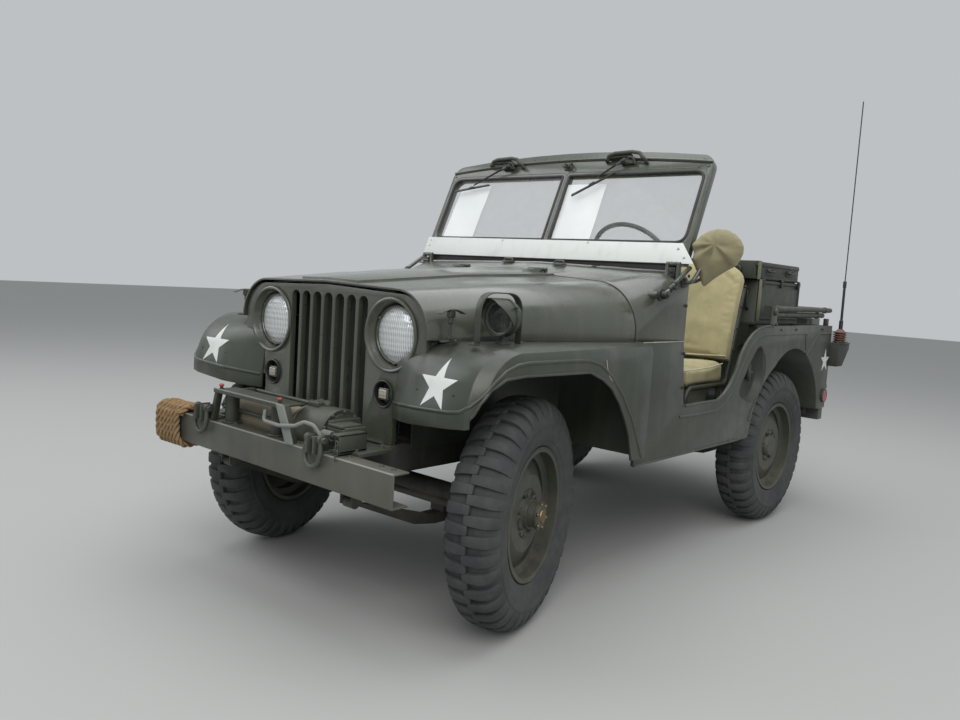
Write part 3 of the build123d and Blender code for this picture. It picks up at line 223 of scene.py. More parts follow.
def painted(name, colour, rough=0.42, dust=0.25, mud=0.4, wear=0.5, faded=0.12, coat=0.0, edge=0.0025):
    """Enamel: soft blotches, orange peel, worn edges, dust on what faces up, and mud low down."""
    s = Shader(name)
    patches = s.ramp(s.noise(3.1, 5, 0.6), 0.34, 0.68)
    base = s.mix(patches, tint(colour, 1 - 1.2 * faded), tint(colour, 1 + 2.2 * faded))
    streak = s.noise(1.0, 4, 0.6, s.node("ShaderNodeMapping", None,
                                         {"Vector": s.place(), "Scale": (14, 14, 1.6)}))
    base = s.mix(s.ramp(streak, 0.52, 0.78, 0.0, 0.22), base, DUST)
    rounded = s.node("ShaderNodeBevel", {"samples": 4}, {"Radius": edge})
    flat = s.node("ShaderNodeNewGeometry", None, None, output=1)
    turn = s.node("ShaderNodeVectorMath", {"operation": "DOT_PRODUCT"}, {0: rounded, 1: flat}, output=1)
    rubbed = s.ramp(s.noise(70, 4, 0.7), 0.54, 0.66) * s.ramp(turn, 0.985, 0.86) * wear
    base = s.mix(rubbed, base, BARE_STEEL)
    settled = s.ramp(s.facing_up(), 0.25, 1.0) * s.ramp(s.noise(5.5, 6, 0.65), 0.35, 0.75) * dust
    splash = s.ramp(s.axis("Z"), 0.62, 0.18) * s.ramp(s.noise(11, 6, 0.7), 0.38, 0.72) * mud
    dirt = settled.high(splash)
    base = s.mix(dirt, base, DUST)
    roughness = s.ramp(s.noise(17, 4, 0.6), 0.3, 0.7, rough - 0.06, rough + 0.08) + dirt * 0.4
    peel = s.noise(420, 2, 0.5) * 0.6 + s.noise(9, 3, 0.5)
    normal = s.bump(peel, 0.10, 0.002, rounded)
    return s.set(Base_Color=base, Roughness=roughness, Normal=normal, Coat_Weight=coat, Coat_Roughness=0.18)


def rubber(name, colour=shade(0.030, 0.032, 0.034), rough=0.78, dust=0.5):
    """Dry rubber with grey dust in patches and in its grain."""
    s = Shader(name)
    grain = s.noise(260, 3, 0.6)
    bloom = s.ramp(s.noise(7, 6, 0.7), 0.35, 0.75) * dust
    base = s.mix(bloom, colour, shade(0.115, 0.112, 0.105))
    base = s.mix(s.ramp(grain, 0.45, 0.7, 0.0, 0.25), base, shade(0.075, 0.075, 0.072))
    rough_map = s.ramp(s.noise(30, 4, 0.6), 0.3, 0.7, rough - 0.1, rough + 0.08)
    return s.set(Base_Color=base, Roughness=rough_map, Normal=s.bump(grain, 0.25, 0.0008))


def metal(name, colour, rough=0.3, stain=0.4):
    s = Shader(name)
    spots = s.ramp(s.noise(60, 5, 0.65), 0.4, 0.7) * stain
    base = s.mix(spots, colour, tint(colour, 0.35))
    rough_map = s.ramp(s.noise(45, 4, 0.6), 0.3, 0.7, rough - 0.08, rough + 0.15)
    return s.set(Base_Color=base, Metallic=1.0, Roughness=rough_map,
                 Normal=s.bump(s.noise(300, 3, 0.6), 0.12, 0.0006))


FADE = 0.25
SOIL = 0.25


def canvas(name, colour, thread=0.0011):
    """Cotton duck: a plain weave, faded in soft patches and soiled in small ones."""
    s = Shader(name)
    x, y, z = (s.axis(a) for a in "XYZ")
    step = 2 * math.pi / thread
    weave = ((x + y) * step).wave() * ((z + (y - x) * 0.25) * step).wave()
    tone = s.ramp(s.noise(6, 5, 0.6), 0.3, 0.72)
    deep = tint(colour, 1 - FADE)
    base = s.mix(tone, deep, tint(colour, 1 + FADE))
    base = s.mix(s.ramp(s.noise(23, 6, 0.7), 0.55, 0.8) * SOIL, base, shade(0.10, 0.085, 0.05))
    base = s.mix(s.ramp(weave, -1.0, 1.0, 0.0, 0.16), base, deep)
    return s.set(Base_Color=base, Roughness=0.88, Sheen_Weight=0.12,
                 Normal=s.bump(weave * 0.5 + s.noise(90, 4, 0.7), 0.35, 0.0007))


# Modelling by hand: helpers that drive the edit-mode operators


def deselect():
    bpy.ops.object.select_all(action="DESELECT")


def take(piece):
    deselect()
    piece.select_set(True)
    bpy.context.view_layer.objects.active = piece


def apply_place(piece):
    take(piece)
    bpy.ops.object.transform_apply(location=True, rotation=True, scale=True)


def pick(piece, test):
    """Selects the faces for which the test of centre and normal holds, and enters edit mode."""
    take(piece)
    mesh = piece.data
    for group in (mesh.vertices, mesh.edges, mesh.polygons):
        group.foreach_set("select", [False] * len(group))
    for face in mesh.polygons:
        face.select = test(face.center, face.normal)
    bpy.ops.object.mode_set(mode="EDIT")
    bpy.ops.mesh.select_mode(type="FACE")


def edit_all():
    """Enters edit mode on the active piece with everything selected."""
    bpy.ops.object.mode_set(mode="EDIT")
    bpy.ops.mesh.select_mode(type="VERT")
    bpy.ops.mesh.select_all(action="SELECT")


def back_to_object():
    bpy.ops.object.mode_set(mode="OBJECT")


def normals_out():
    """Turns the selected faces outwards and leaves edit mode."""
    bpy.ops.mesh.normals_make_consistent(inside=False)
    back_to_object()


def apply_modifier(piece, kind, **settings):
    take(piece)
    modifier = piece.modifiers.new(kind.lower(), kind)
    for key, value in settings.items():
        setattr(modifier, key, value)
    bpy.ops.object.modifier_apply(modifier=modifier.name)
    return piece


def soften(piece, angle=35):
    take(piece)
    bpy.ops.object.shade_smooth_by_angle(angle=math.radians(angle))
    return piece


def rounded(piece, width, segments=2, angle=30):
    """Bevels the piece's edges that turn by more than the angle."""
    apply_modifier(piece, "BEVEL", width=width * MM, segments=segments, limit_method="ANGLE",
                   angle_limit=math.radians(angle), use_clamp_overlap=True)
    return soften(piece)


def block(low, high, bevel=2.0, segments=2):
    """Block between two corners, with rounded edges."""
    deselect()
    low, high = at(*low), at(*high)
    bpy.ops.mesh.primitive_cube_add(size=1, location=(low + high) / 2)
    piece = bpy.context.object
    piece.scale = high - low
    apply_place(piece)
    return rounded(piece, bevel, segments) if bevel else piece


def aim(start, end):
    return (end - start).to_track_quat("Z", "Y").to_euler()


def bar(start, end, radius, sides=20, bevel=0.8):
    """Round bar between two points, with broken edges at its ends."""
    deselect()
    start, end = at(*start), at(*end)
    bpy.ops.mesh.primitive_cylinder_add(vertices=sides, radius=radius * MM, depth=(end - start).length,
                                        location=(start + end) / 2, rotation=aim(start, end))
    piece = bpy.context.object
    apply_place(piece)
    return rounded(piece, bevel, 1, 50) if bevel else soften(piece)


def drawn(path):
    """New piece in edit mode: a line drawn point by point through places in metres."""
    deselect()
    bpy.ops.mesh.primitive_plane_add(size=0.001)
    piece = bpy.context.object
    edit_all()
    bpy.ops.mesh.merge(type="CENTER")
    bpy.ops.transform.translate(value=path[0])
    for here, there in zip(path, path[1:]):
        bpy.ops.mesh.extrude_region_move(TRANSFORM_OT_translate={"value": there - here})
    bpy.ops.mesh.select_all(action="SELECT")
    return piece


HERE = Matrix.Identity(4)
# Turns that point a piece's X axis: degrees, axis
WAYS = {"left": (0, "Z"), "right": (180, "Z"), "front": (-90, "Z"), "rear": (90, "Z"), "up": (-90, "Y")}


def facing(way, x, y, z):
    """Matrix at a place, its X axis pointing the given way."""
    degrees, axis = WAYS[way]
    return Matrix.Translation(at(x, y, z)) @ Matrix.Rotation(math.radians(degrees), 4, axis)


def turned(points, place, steps=32, angle=35):
    """Spins an outline of (along, radius) points about the place's X axis, as on a lathe."""
    piece = drawn([Vector((along * MM, 0, radius * MM)) for along, radius in points])
    bpy.ops.mesh.spin(steps=steps, angle=2 * math.pi, center=(0, 0, 0), axis=(1, 0, 0))
    bpy.ops.mesh.select_all(action="SELECT")
    bpy.ops.mesh.remove_doubles(threshold=SAME_POINT)
    normals_out()
    piece.matrix_world = place
    apply_place(piece)
    return soften(piece, angle)


def outline_face(path):
    """Flat face drawn through places in metres, still in edit mode."""
    piece = drawn(path)
    bpy.ops.mesh.edge_face_add()
    return piece


def pushed(path, move):
    """Solid: an outline through places in metres, pushed along a vector."""
    piece = outline_face(path)
    bpy.ops.mesh.extrude_region_move(TRANSFORM_OT_translate={"value": move})
    bpy.ops.mesh.select_all(action="SELECT")
    normals_out()
    return piece


def plate(points, thickness, bevel=0.0, segments=2):
    """Plate with rounded edges: outline and thickness are given in millimetres."""
    piece = pushed([at(*p) for p in points], size(*thickness))
    return rounded(piece, bevel, segments) if bevel else piece


def round_corners(points, radii, steps):
    """Route with its inner corners rounded: straight runs joined by short curves."""
    path = [Vector(points[0])]
    for before, corner, after, radius in zip(points, points[1:], points[2:], radii):
        corner = Vector(corner)
        one, two = (Vector(before) - corner).normalized(), (Vector(after) - corner).normalized()
        half = one.angle(two) / 2
        reach = radius / math.tan(half)
        start, end = corner + one * reach, corner + two * reach
        for i in range(steps + 1):
            t = i / steps
            path.append(start.lerp(corner, t).lerp(corner.lerp(end, t), t))
    path.append(Vector(points[-1]))
    return path


def wire(points, radius, sides=3, closed=False):
    """Bent round rod along points in millimetres, made as a curve and then turned into a mesh."""
    deselect()
    data = bpy.data.curves.new("wire", "CURVE")
    data.dimensions = "3D"
    spline = data.splines.new("POLY")
    spline.points.add(len(points) - 1)
    for point, place in zip(spline.points, points):
        point.co = (*at(*place), 1)
    spline.use_cyclic_u = closed
    data.bevel_depth = radius * MM
    data.bevel_resolution = sides
    data.use_fill_caps = not closed
    piece = bpy.data.objects.new("wire", data)
    bpy.context.scene.collection.objects.link(piece)
    take(piece)
    bpy.ops.object.convert(target="MESH")
    return soften(bpy.context.object, 50)


def bend(points, radii, steps, radius, sides=3):
    """Round rod along points in millimetres, its inner corners rounded."""
    return wire(round_corners(points, radii, steps), radius, sides)


def join(*pieces):
    deselect()
    for piece in pieces:
        piece.select_set(True)
    bpy.context.view_layer.objects.active = pieces[0]
    if len(pieces) > 1:
        bpy.ops.object.join()
    return pieces[0]


def copy_of(piece, place=None):
    """Copy with its own mesh, moved by a matrix."""
    take(piece)
    bpy.ops.object.duplicate(linked=False)
    other = bpy.context.object
    if place is not None:
        other.matrix_world = place @ other.matrix_world
        apply_place(other)
    return other


def mirrored(piece):
    """Copy on the car's other side."""
    middle_x = at(0, 0, 0).x
    other = copy_of(piece)
    for point in other.data.vertices:
        point.co.x = 2 * middle_x - point.co.x
    take(other)
    edit_all()
    bpy.ops.mesh.flip_normals()
    back_to_object()
    return other


def finish(piece, name, material, slot, body="root", replaced=()):
    """Names a piece, gives it its material, and lets it ride on a body. Its slot is not used."""
    piece.name = name
    piece.data.name = name
    piece.data.materials.clear()
    piece.data.materials.append(material)
    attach(piece, body)
    if replaced:
        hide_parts(*replaced)
    return piece


def adder(make):
    def add(self, *args, **settings):
        self.append(make(*args, **settings))
    return add


class Parts(list):
    """Pieces that become one: each method makes a piece and adds it."""

    bar = adder(bar)
    bend = adder(bend)
    block = adder(block)
    plate = adder(plate)
    turned = adder(turned)
    wire = adder(wire)

    def done(self, *args):
        return finish(join(*self), *args)


# Finishes

HOOD_PAINT = painted("hood_enamel", shade(0.054, 0.061, 0.044), rough=0.30, dust=0.10, mud=0.1, coat=0.8)
BODY_PAINT = painted("body_enamel", shade(0.037, 0.044, 0.032), rough=0.38, dust=0.10, mud=0.25, coat=0.15)
GEAR_PAINT = painted("gear_enamel", shade(0.044, 0.048, 0.036), rough=0.46, dust=0.25, mud=0.5, wear=0.75)
CHASSIS_PAINT = painted("chassis_paint", shade(0.028, 0.029, 0.025), rough=0.6, dust=0.5, mud=0.7, wear=0.4)
RADIO_PAINT = painted("radio_enamel", shade(0.032, 0.036, 0.027), rough=0.44, dust=0.12, mud=0.0, wear=0.8)
WHITE_PAINT = painted("white_paint", shade(0.62, 0.64, 0.62), rough=0.5, dust=0.12, mud=0.1, wear=0.3,
                      faded=0.02)
BUMPER_PAINT = painted("bumper_enamel", shade(0.066, 0.068, 0.054), rough=0.42, dust=0.3, mud=0.3, wear=0.9,
                       edge=0.006)
DRUM_PAINT = painted("drum_paint", shade(0.23, 0.20, 0.145), rough=0.7, dust=0.6, mud=0.4, wear=0.5)
WORN_SEAM = painted("worn_seam", shade(0.34, 0.31, 0.27), rough=0.7, dust=0.2, mud=0.0, wear=0.3)
WORN_EDGE = painted("worn_edge", shade(0.20, 0.20, 0.185), rough=0.38, dust=0.2, mud=0.0, wear=0.9)
PALE_PAINT = painted("pale_grey_paint", shade(0.19, 0.205, 0.185), rough=0.5, dust=0.3, mud=0.0, wear=0.7)
RED_PAINT = painted("red_paint", shade(0.42, 0.05, 0.04), rough=0.5, dust=0.3, mud=0.0, wear=0.6)
# Body olive darkened as painted shade for the filler's recess, with more dust on it
RECESS_SHADE_PAINT = painted("recess_painted_shade", shade(0.030, 0.035, 0.028), rough=0.5, dust=0.3, mud=0.2)
INSULATOR = painted("insulator", shade(0.13, 0.062, 0.048), rough=0.35, dust=0.35, mud=0.0, wear=0.2)
# Black paint of the real black parts, also used as painted shade in the fender's holes
BLACK_PAINT_AND_HOLE_SHADE = painted("black_paint_and_hole_shade", shade(0.018, 0.019, 0.018), rough=0.4, dust=0.2, mud=0.2, wear=0.4)
TYRE_RUBBER = rubber("tyre_rubber")
SEAL_RUBBER = rubber("seal_rubber", shade(0.02, 0.02, 0.02), rough=0.6, dust=0.2)
STEEL = metal("bright_steel", shade(0.45, 0.44, 0.42), 0.32)
BRASS = metal("brass", shade(0.26, 0.20, 0.11), 0.42)
CHROME = metal("silvered", shade(0.9, 0.9, 0.9), 0.06, 0.0)
SEAT_CANVAS = canvas("seat_canvas", shade(0.44, 0.385, 0.21))
PIPING = canvas("pale_piping", shade(0.50, 0.46, 0.32), thread=0.0014)
COVER_CANVAS = canvas("cover_canvas", shade(0.265, 0.235, 0.135))
WEBBING = canvas("webbing", shade(0.15, 0.15, 0.085), thread=0.0016)


def clear_glass(name):
    """Nearly clear panes with faint smears."""
    s = Shader(name)
    smear = s.ramp(s.noise(9, 6, 0.7), 0.4, 0.85, 0.0, 0.09)
    haze = s.ramp(s.noise(14, 5, 0.6), 0.3, 0.8, 0.02, 0.05)
    return s.set(Base_Color=shade(0.40, 0.43, 0.42), Roughness=haze, Alpha=smear + 0.08, IOR=1.5)


def lens_glass(name, colour, pitch=0.0085):
    """Pressed lens: fine upright ribs crossed by wider ones."""
    s = Shader(name)
    fine = (s.axis("X") * (2 * math.pi / pitch)).wave()
    wide = (s.axis("Z") * (2 * math.pi / (pitch * 2.2))).wave()
    ribs = fine + wide * 0.4
    base = s.mix(s.ramp(ribs, -1.0, 1.0), tint(colour, 0.62), colour)
    return s.set(Base_Color=base, Roughness=0.12, Coat_Weight=0.6, Coat_Roughness=0.05, Metallic=0.35,
                 Normal=s.bump(ribs, 0.5, 0.0015))


WINDOW_GLASS = clear_glass("window_glass")
HEAD_LENS = lens_glass("head_lens", shade(0.80, 0.83, 0.84))
SMALL_LENS = lens_glass("small_lens", shade(0.55, 0.50, 0.42), 0.006)
SMOKED_LENS = lens_glass("smoked_lens", shade(0.05, 0.055, 0.05), 0.006)
RED_LENS = lens_glass("red_lens", shade(0.50, 0.018, 0.012), 0.006)


def rope_fibre(name):
    """Manila: hairy brown fibre, with darker patches."""
    s = Shader(name)
    hair = s.noise(160, 6, 0.75, warp=0.6)
    base = s.mix(s.ramp(hair, 0.3, 0.7), shade(0.13, 0.075, 0.035), shade(0.42, 0.28, 0.14))
    base = s.mix(s.ramp(s.noise(14, 4, 0.6), 0.4, 0.75, 0.0, 0.45), base, shade(0.16, 0.10, 0.055))
    return s.set(Base_Color=base, Roughness=0.92, Normal=s.bump(hair, 0.8, 0.0015))


MANILA = rope_fibre("manila")


def paper_sheet(name):
    s = Shader(name)
    return s.set(Base_Color=s.mix(s.ramp(s.noise(5, 3, 0.5), 0.3, 0.7), shade(0.72, 0.74, 0.74),
                                  shade(0.8, 0.81, 0.8)), Roughness=0.7,
                 Normal=s.bump(s.noise(30, 3, 0.5), 0.1, 0.001))


PAPER = paper_sheet("paper")


def dial_face(name):
    """Black enamel dial with small pale marks."""
    s = Shader(name)
    strokes = s.ramp(s.noise(55, 2, 0.5), 0.58, 0.62, 0.0, 0.25)
    return s.set(Base_Color=s.mix(strokes, shade(0.02, 0.02, 0.02), shade(0.4, 0.4, 0.36)), Roughness=0.3,
                 Coat_Weight=0.6, Normal=s.bump(s.noise(120, 2, 0.5), 0.05, 0.0005))


DIAL_FACE = dial_face("dial_face")

# Columns: finish, CAD nodes that keep their own shape
DRESSED = (
    (GEAR_PAINT, "seat_frames top_bows rim_front_left rim_front_right rim_rear_left rim_rear_right "
                 "spare_rim steering_column"),
    (CHASSIS_PAINT, "leaf_springs front_axle rear_axle knuckle_left knuckle_right tie_rod "
                    "shock_absorbers propshafts engine transfer_case radiator exhaust"),
    (BLACK_PAINT_AND_HOLE_SHADE, "antenna_whip"),
    (WINDOW_GLASS, "windshield_glass"),
)

for cad_finish, node_names in DRESSED:
    for node_name in node_names.split():
        NODES[node_name].data.materials.clear()
        NODES[node_name].data.materials.append(cad_finish)


# Rope on the bumper's right end: the only cord

ROPE_R = 13.5
ROPE_TURNS = 6.5
ROPE_X = (-612, -450)
ROPE_WRAP = (BUMPER_Y, BUMPER_Y + BUMPER_DEEP, *BUMPER_Z)
POINTS_PER_TURN = 16
STRANDS = 3
LAY = 0.075


def rope_route():
    """Turns round the bumper's channel, each a little different."""
    random.seed(11)
    y0, y1, z0, z1 = ROPE_WRAP
    middle = ((y0 + y1) / 2, (z0 + z1) / 2)
    reach = ((y1 - y0) / 2 + ROPE_R + 2.5, (z1 - z0) / 2 + ROPE_R + 2.5)
    count = int(ROPE_TURNS * POINTS_PER_TURN)
    route = []
    for i in range(count + 1):
        turn = i / POINTS_PER_TURN
        angle = 2 * math.pi * turn - 0.6
        c, s = math.cos(angle), math.sin(angle)
        square = 1 / (abs(c) ** 5 + abs(s) ** 5) ** 0.2
        bulge = 1 + random.uniform(0.0, 0.05)
        x = ROPE_X[0] + (ROPE_X[1] - ROPE_X[0]) * turn / ROPE_TURNS + random.uniform(-2, 2)
        route.append((x, middle[0] + reach[0] * c * square * bulge,
                      middle[1] + reach[1] * s * square * bulge))
    return route


def spline_points(route):
    """Points along the smooth NURBS line of a route, read from a curve with no bevel."""
    data = bpy.data.curves.new("rope_line", "CURVE")
    data.dimensions = "3D"
    data.resolution_u = 4
    spline = data.splines.new("NURBS")
    spline.points.add(len(route) - 1)
    for point, place in zip(spline.points, route):
        point.co = (*at(*place), 1)
    spline.order_u = 3
    spline.use_endpoint_u = True
    guide = bpy.data.objects.new("rope_line", data)
    line = [v.co.copy() for v in bpy.data.meshes.new_from_object(guide).vertices]
    bpy.data.objects.remove(guide)
    return line


def strand(line, radius, offset, phase, sides=8):
    """Tube that winds round a line in metres, once in each length of lay."""
    mesh = bmesh.new()
    rings = []
    across = (line[1] - line[0]).orthogonal().normalized()
    run = 0.0
    for i, place in enumerate(line):
        ahead = (line[min(i + 1, len(line) - 1)] - line[max(i - 1, 0)]).normalized()
        across = (across - ahead * across.dot(ahead)).normalized()
        third = ahead.cross(across)
        if i:
            run += (place - line[i - 1]).length
        swing = phase + run * 2 * math.pi / LAY
        centre = place + (across * math.cos(swing) + third * math.sin(swing)) * offset
        ring = []
        for k in range(sides):
            a = 2 * math.pi * k / sides + swing
            ring.append(mesh.verts.new(centre + (across * math.cos(a) + third * math.sin(a)) * radius))
        rings.append(ring)
    for one, two in zip(rings, rings[1:]):
        for k in range(sides):
            mesh.faces.new((one[k], one[(k + 1) % sides], two[(k + 1) % sides], two[k]))
    mesh.faces.new(rings[0][::-1])
    mesh.faces.new(rings[-1])
    data = bpy.data.meshes.new("strand")
    mesh.to_mesh(data)
    mesh.free()
    piece = bpy.data.objects.new("strand", data)
    bpy.context.scene.collection.objects.link(piece)
    return soften(piece, 60)


def add_rope():
    line = spline_points(rope_route())
    strands = [strand(line, ROPE_R * 0.52 * MM, ROPE_R * 0.48 * MM, 2 * math.pi * i / STRANDS)
               for i in range(STRANDS)]
    rope = finish(join(*strands), "rope", MANILA, "manila_rope", replaced=("rope_coil",))


add_rope()


# Wheels

LUGS = 40
# Share of the pitch that a lug takes up, and the radius at which the pitch is measured
LUG_SHARE = 0.60
PITCH_R = 384


def wheel_place(side, front):
    """Matrix from the wheel's own axes, with X along its axle towards the outside, to the frame."""
    outward = Matrix.Rotation(0 if side > 0 else math.pi, 4, "Z")
    if front:
        pin = Matrix.Translation(at(side * KINGPIN_X, FRONT_AXLE_Y, HUB_Z)) @ Matrix.Rotation(STEER, 4, "Z")
        return pin @ Matrix.Translation(size(side * WHEEL_OUT, 0, 0)) @ outward
    return Matrix.Translation(at(side * (KINGPIN_X + WHEEL_OUT), REAR_AXLE_Y, HUB_Z)) @ outward


def model_tyre():
    """Carcass with ribs on its side walls, and staggered lugs that run round the shoulder."""
    half = [
        (0, 371), (30, 370), (56, 364), (74, 350), (85, 331), (90, 316), (90.5, 312), (92, 311), (92.5, 300),
        (91, 298), (90.5, 280), (87, 262), (82, 248), (80, 247), (78, 240), (73, 231), (66, 226), (63, 225),
        (61, 218),
    ]
    outline = [(-x, r) for x, r in half[:0:-1]] + half
    carcass = turned(outline, HERE, 96, 50)
    profile = [
        (-9, 366), (-7, 385), (-3, 386), (22, 385.6), (44, 382), (60, 375), (72, 365), (81, 351), (87, 335),
        (90.5, 318), (87, 314), (80, 326), (60, 350), (30, 364),
    ]
    pitch = 2 * math.pi / LUGS
    width = LUG_SHARE * PITCH_R * pitch
    lug = pushed([Vector((x * MM, -width / 2 * MM, r * MM)) for x, r in profile], (0, width * MM, 0))
    for point in lug.data.vertices:
        # A lug narrows towards the middle of the tread and follows its own radius
        point.co.y *= 0.80 + 0.25 * min(1.0, max(0.0, point.co.x / 0.07)) if point.co.z > 0.36 else 1.0
        point.co.y *= point.co.z / 0.386
    rounded(lug, 1.6, 2, 40)
    other = copy_of(lug, Matrix.Rotation(math.pi, 4, "Z"))
    other.matrix_world = Matrix.Rotation(pitch / 2, 4, "X")
    apply_place(other)
    pair = join(lug, other)
    take(pair)
    edit_all()
    bpy.ops.mesh.spin(steps=LUGS - 1, dupli=True, angle=2 * math.pi * (LUGS - 1) / LUGS, center=(0, 0, 0),
                      axis=(1, 0, 0))
    back_to_object()
    tyre = join(carcass, pair)
    return soften(tyre, 40)


def around(make, count, radius, start=0.0):
    """Copies of a small piece set in a ring about the X axis."""
    pieces = []
    for i in range(count):
        turn = Matrix.Rotation(2 * math.pi * i / count + start, 4, "X")
        piece = make()
        piece.matrix_world = turn @ Matrix.Translation(Vector((0, 0, radius * MM))) @ piece.matrix_world
        apply_place(piece)
        pieces.append(piece)
    return join(*pieces)


def nut(along, across, height, stud=0.0):
    """Hexagon nut, with the stud's end where one is given, that stands out along X."""
    deselect()
    turn = (0, math.pi / 2, 0)
    bpy.ops.mesh.primitive_cylinder_add(vertices=6, radius=across / 2 / math.cos(math.pi / 6) * MM,
                                        depth=height * MM, location=((along + height / 2) * MM, 0, 0),
                                        rotation=turn)
    piece = bpy.context.object
    apply_place(piece)
    rounded(piece, height * 0.12, 1, 30)
    if stud:
        bpy.ops.mesh.primitive_cylinder_add(vertices=12, radius=across * 0.27 * MM, depth=stud * MM,
                                            location=((along + height + stud / 2) * MM, 0, 0), rotation=turn)
        tip = bpy.context.object
        apply_place(tip)
        piece = join(piece, rounded(tip, 0.8, 1, 50))
    return piece


def model_hub(front):
    """Wheel nuts and rim ring, and on the front hub a drive flange with bolts of another colour."""
    pieces, bright = Parts(), Parts()
    pieces.append(around(lambda: nut(34, 22, 13, 6), 5, 70, 0.3))
    pieces.turned([(66, 214), (70, 216), (73.5, 220), (73.5, 223.5), (69, 225), (62, 224), (62, 222.6)],
                  HERE, 64)
    if front:
        pieces.turned([(34, 64), (40, 62), (46, 52), (60, 50), (60, 44)], HERE, 40)
        pieces.turned([(60, 43), (84, 41.5), (84, 47), (92, 47), (92, 41), (97, 38), (97, 0)],
                      HERE, 40)
        bright.append(around(lambda: nut(92, 11, 7), 6, 40, 0.2))
        bright.turned([(96, 24), (101, 22), (103, 14), (103, 0)], HERE, 24)
    else:
        pieces.turned([(34, 58), (52, 54), (60, 47), (62.5, 30), (62.8, 0)], HERE, 40)
    return join(*pieces), join(*bright) if bright else None


# Columns: name, side of the car, front or rear
WHEELS = (("front_left", 1, True), ("front_right", -1, True), ("rear_left", 1, False),
          ("rear_right", -1, False))


def add_wheels():
    tyre = model_tyre()
    hubs = {front: model_hub(front) for front in (True, False)}
    for name, side, front in WHEELS:
        place = wheel_place(side, front)
        body = "wheel_" + name
        finish(copy_of(tyre, place), "tread_" + name, TYRE_RUBBER, "tyre_rubber", body, ("tyre_" + name,))
        hub, bolts = hubs[front]
        finish(copy_of(hub, place), "hub_" + name, GEAR_PAINT, "gear_paint", body)
        if bolts:
            finish(copy_of(bolts, place), "hub_bolts_" + name, BRASS, "gear_paint", body)
    spare = facing("rear", SPARE_X, TUB_REAR_Y + 188, SPARE_Z)
    finish(copy_of(tyre, spare), "tread_spare", TYRE_RUBBER, "tyre_rubber", "root", ("spare_tyre",))
    finish(copy_of(hubs[False][0], spare), "hub_spare", GEAR_PAINT, "gear_paint")
    for piece in (tyre, *hubs[True], hubs[False][0]):
        bpy.data.objects.remove(piece)


add_wheels()


# Pressed body panels: copies of the CAD solids with rounded edges


def cleaned(node):
    """Copy of a CAD solid with its points merged and its flat faces made whole."""
    piece = bpy.data.objects.new(node + "_copy", NODES[node].data.copy())
    bpy.context.scene.collection.objects.link(piece)
    take(piece)
    edit_all()
    bpy.ops.mesh.remove_doubles(threshold=SAME_POINT)
    bpy.ops.mesh.dissolve_limited(angle_limit=math.radians(1))
    normals_out()
    return piece


# Columns: CAD node, finish, slot, body, width of the rounded edges in millimetres
PANELS = (
    ("hood", HOOD_PAINT, "olive_paint", "hood", 3.0),
    ("cowl", HOOD_PAINT, "olive_paint", "root", 2.5),
    ("tub", BODY_PAINT, "olive_paint", "root", 3.0),
    ("grille", HOOD_PAINT, "olive_paint", "root", 4.5),
    ("rear_bumpers", BUMPER_PAINT, "olive_paint", "root", 3.0),
    ("windshield_frame", HOOD_PAINT, "olive_paint", "windshield", 4.0),
    ("winch_frame", GEAR_PAINT, "gear_paint", "root", 2.0),
    ("winch_gearbox", GEAR_PAINT, "gear_paint", "root", 4.0),
    ("winch_drum", DRUM_PAINT, "gear_paint", "winch_drum", 2.0),
    ("radio_set", RADIO_PAINT, "olive_paint", "root", 3.0),
    ("fuel_can", BODY_PAINT, "olive_paint", "root", 4.0),
    ("chassis_frame", CHASSIS_PAINT, "dark_steel", "root", 2.0),
)


def add_panels():
    for node, finish_of, slot, body, width in PANELS:
        piece = cleaned(node)
        finish(rounded(piece, width, 2, 28), node + "_panel", finish_of, slot, body, (node,))


def add_fenders():
    """Both fenders without the lamp guard, whose thin strap is modelled apart."""
    piece = cleaned("fenders")
    pick(piece, lambda centre, normal: centre.z > FENDER_TOP_Z * MM + 0.001)
    bpy.ops.mesh.delete(type="FACE")
    bpy.ops.mesh.select_all(action="SELECT")
    bpy.ops.mesh.fill_holes(sides=0)
    bpy.ops.mesh.delete_loose()
    back_to_object()
    return finish(rounded(piece, 2.5, 2, 28), "fender_panels", BODY_PAINT, "olive_paint", "root",
                  ("fenders",))


add_panels()
fender_panels = add_fenders()


def laid_on(points, carrier, lift=0.0, step=14):
    """Route along points in millimetres, set on a carrier's surface."""
    route = []
    for here, there in zip(points, points[1:]):
        count = max(1, round((Vector(there) - Vector(here)).length / step))
        route += [Vector(here).lerp(Vector(there), i / count) for i in range(count)]
    route.append(Vector(points[-1]))
    laid = []
    for place in route:
        found, near, normal, face = carrier.closest_point_on_mesh(at(*place))
        near = (near + normal * lift * MM) / MM
        laid.append((near.x + BOX_MIDDLE[0], near.y + BOX_MIDDLE[1], near.z))
    return laid


# Raised bead round the wheel opening, from the fender's front round its side, as (x, y, z)
FENDER_BEAD = (
    (366, -1348, 738), (430, -1388, 745), (510, -1419, 752), (600, -1425, 757), (676, -1427, 761),
    (712, -1422, 767), (738, -1404, 784), (757, -1374, 814), (768, -1330, 853), (772, -1285, 884),
    (773, -1240, 899), (773, -1180, 904), (773, -917, 903), (773, -855, 900), (773, -788, 884),
    (773, -714, 840), (773, -634, 770), (773, -558, 678), (773, -507, 594), (773, -470, 530),
)
# Edge of the opening, as (x, y, z)
OPENING_EDGE = (
    (738, -1400, 748), (757, -1376, 792), (767, -1348, 828), (771, -1288, 857), (771, -1195, 863),
    (771, -849, 859), (771, -769, 831), (771, -708, 797), (771, -653, 743), (771, -608, 682),
    (771, -575, 627), (771, -552, 559), (771, -541, 528),
)
# Chipped seam on the fender's side, as (y, z)
FENDER_SEAM = ((-759, 900), (-750, 872), (-732, 842), (-712, 826))


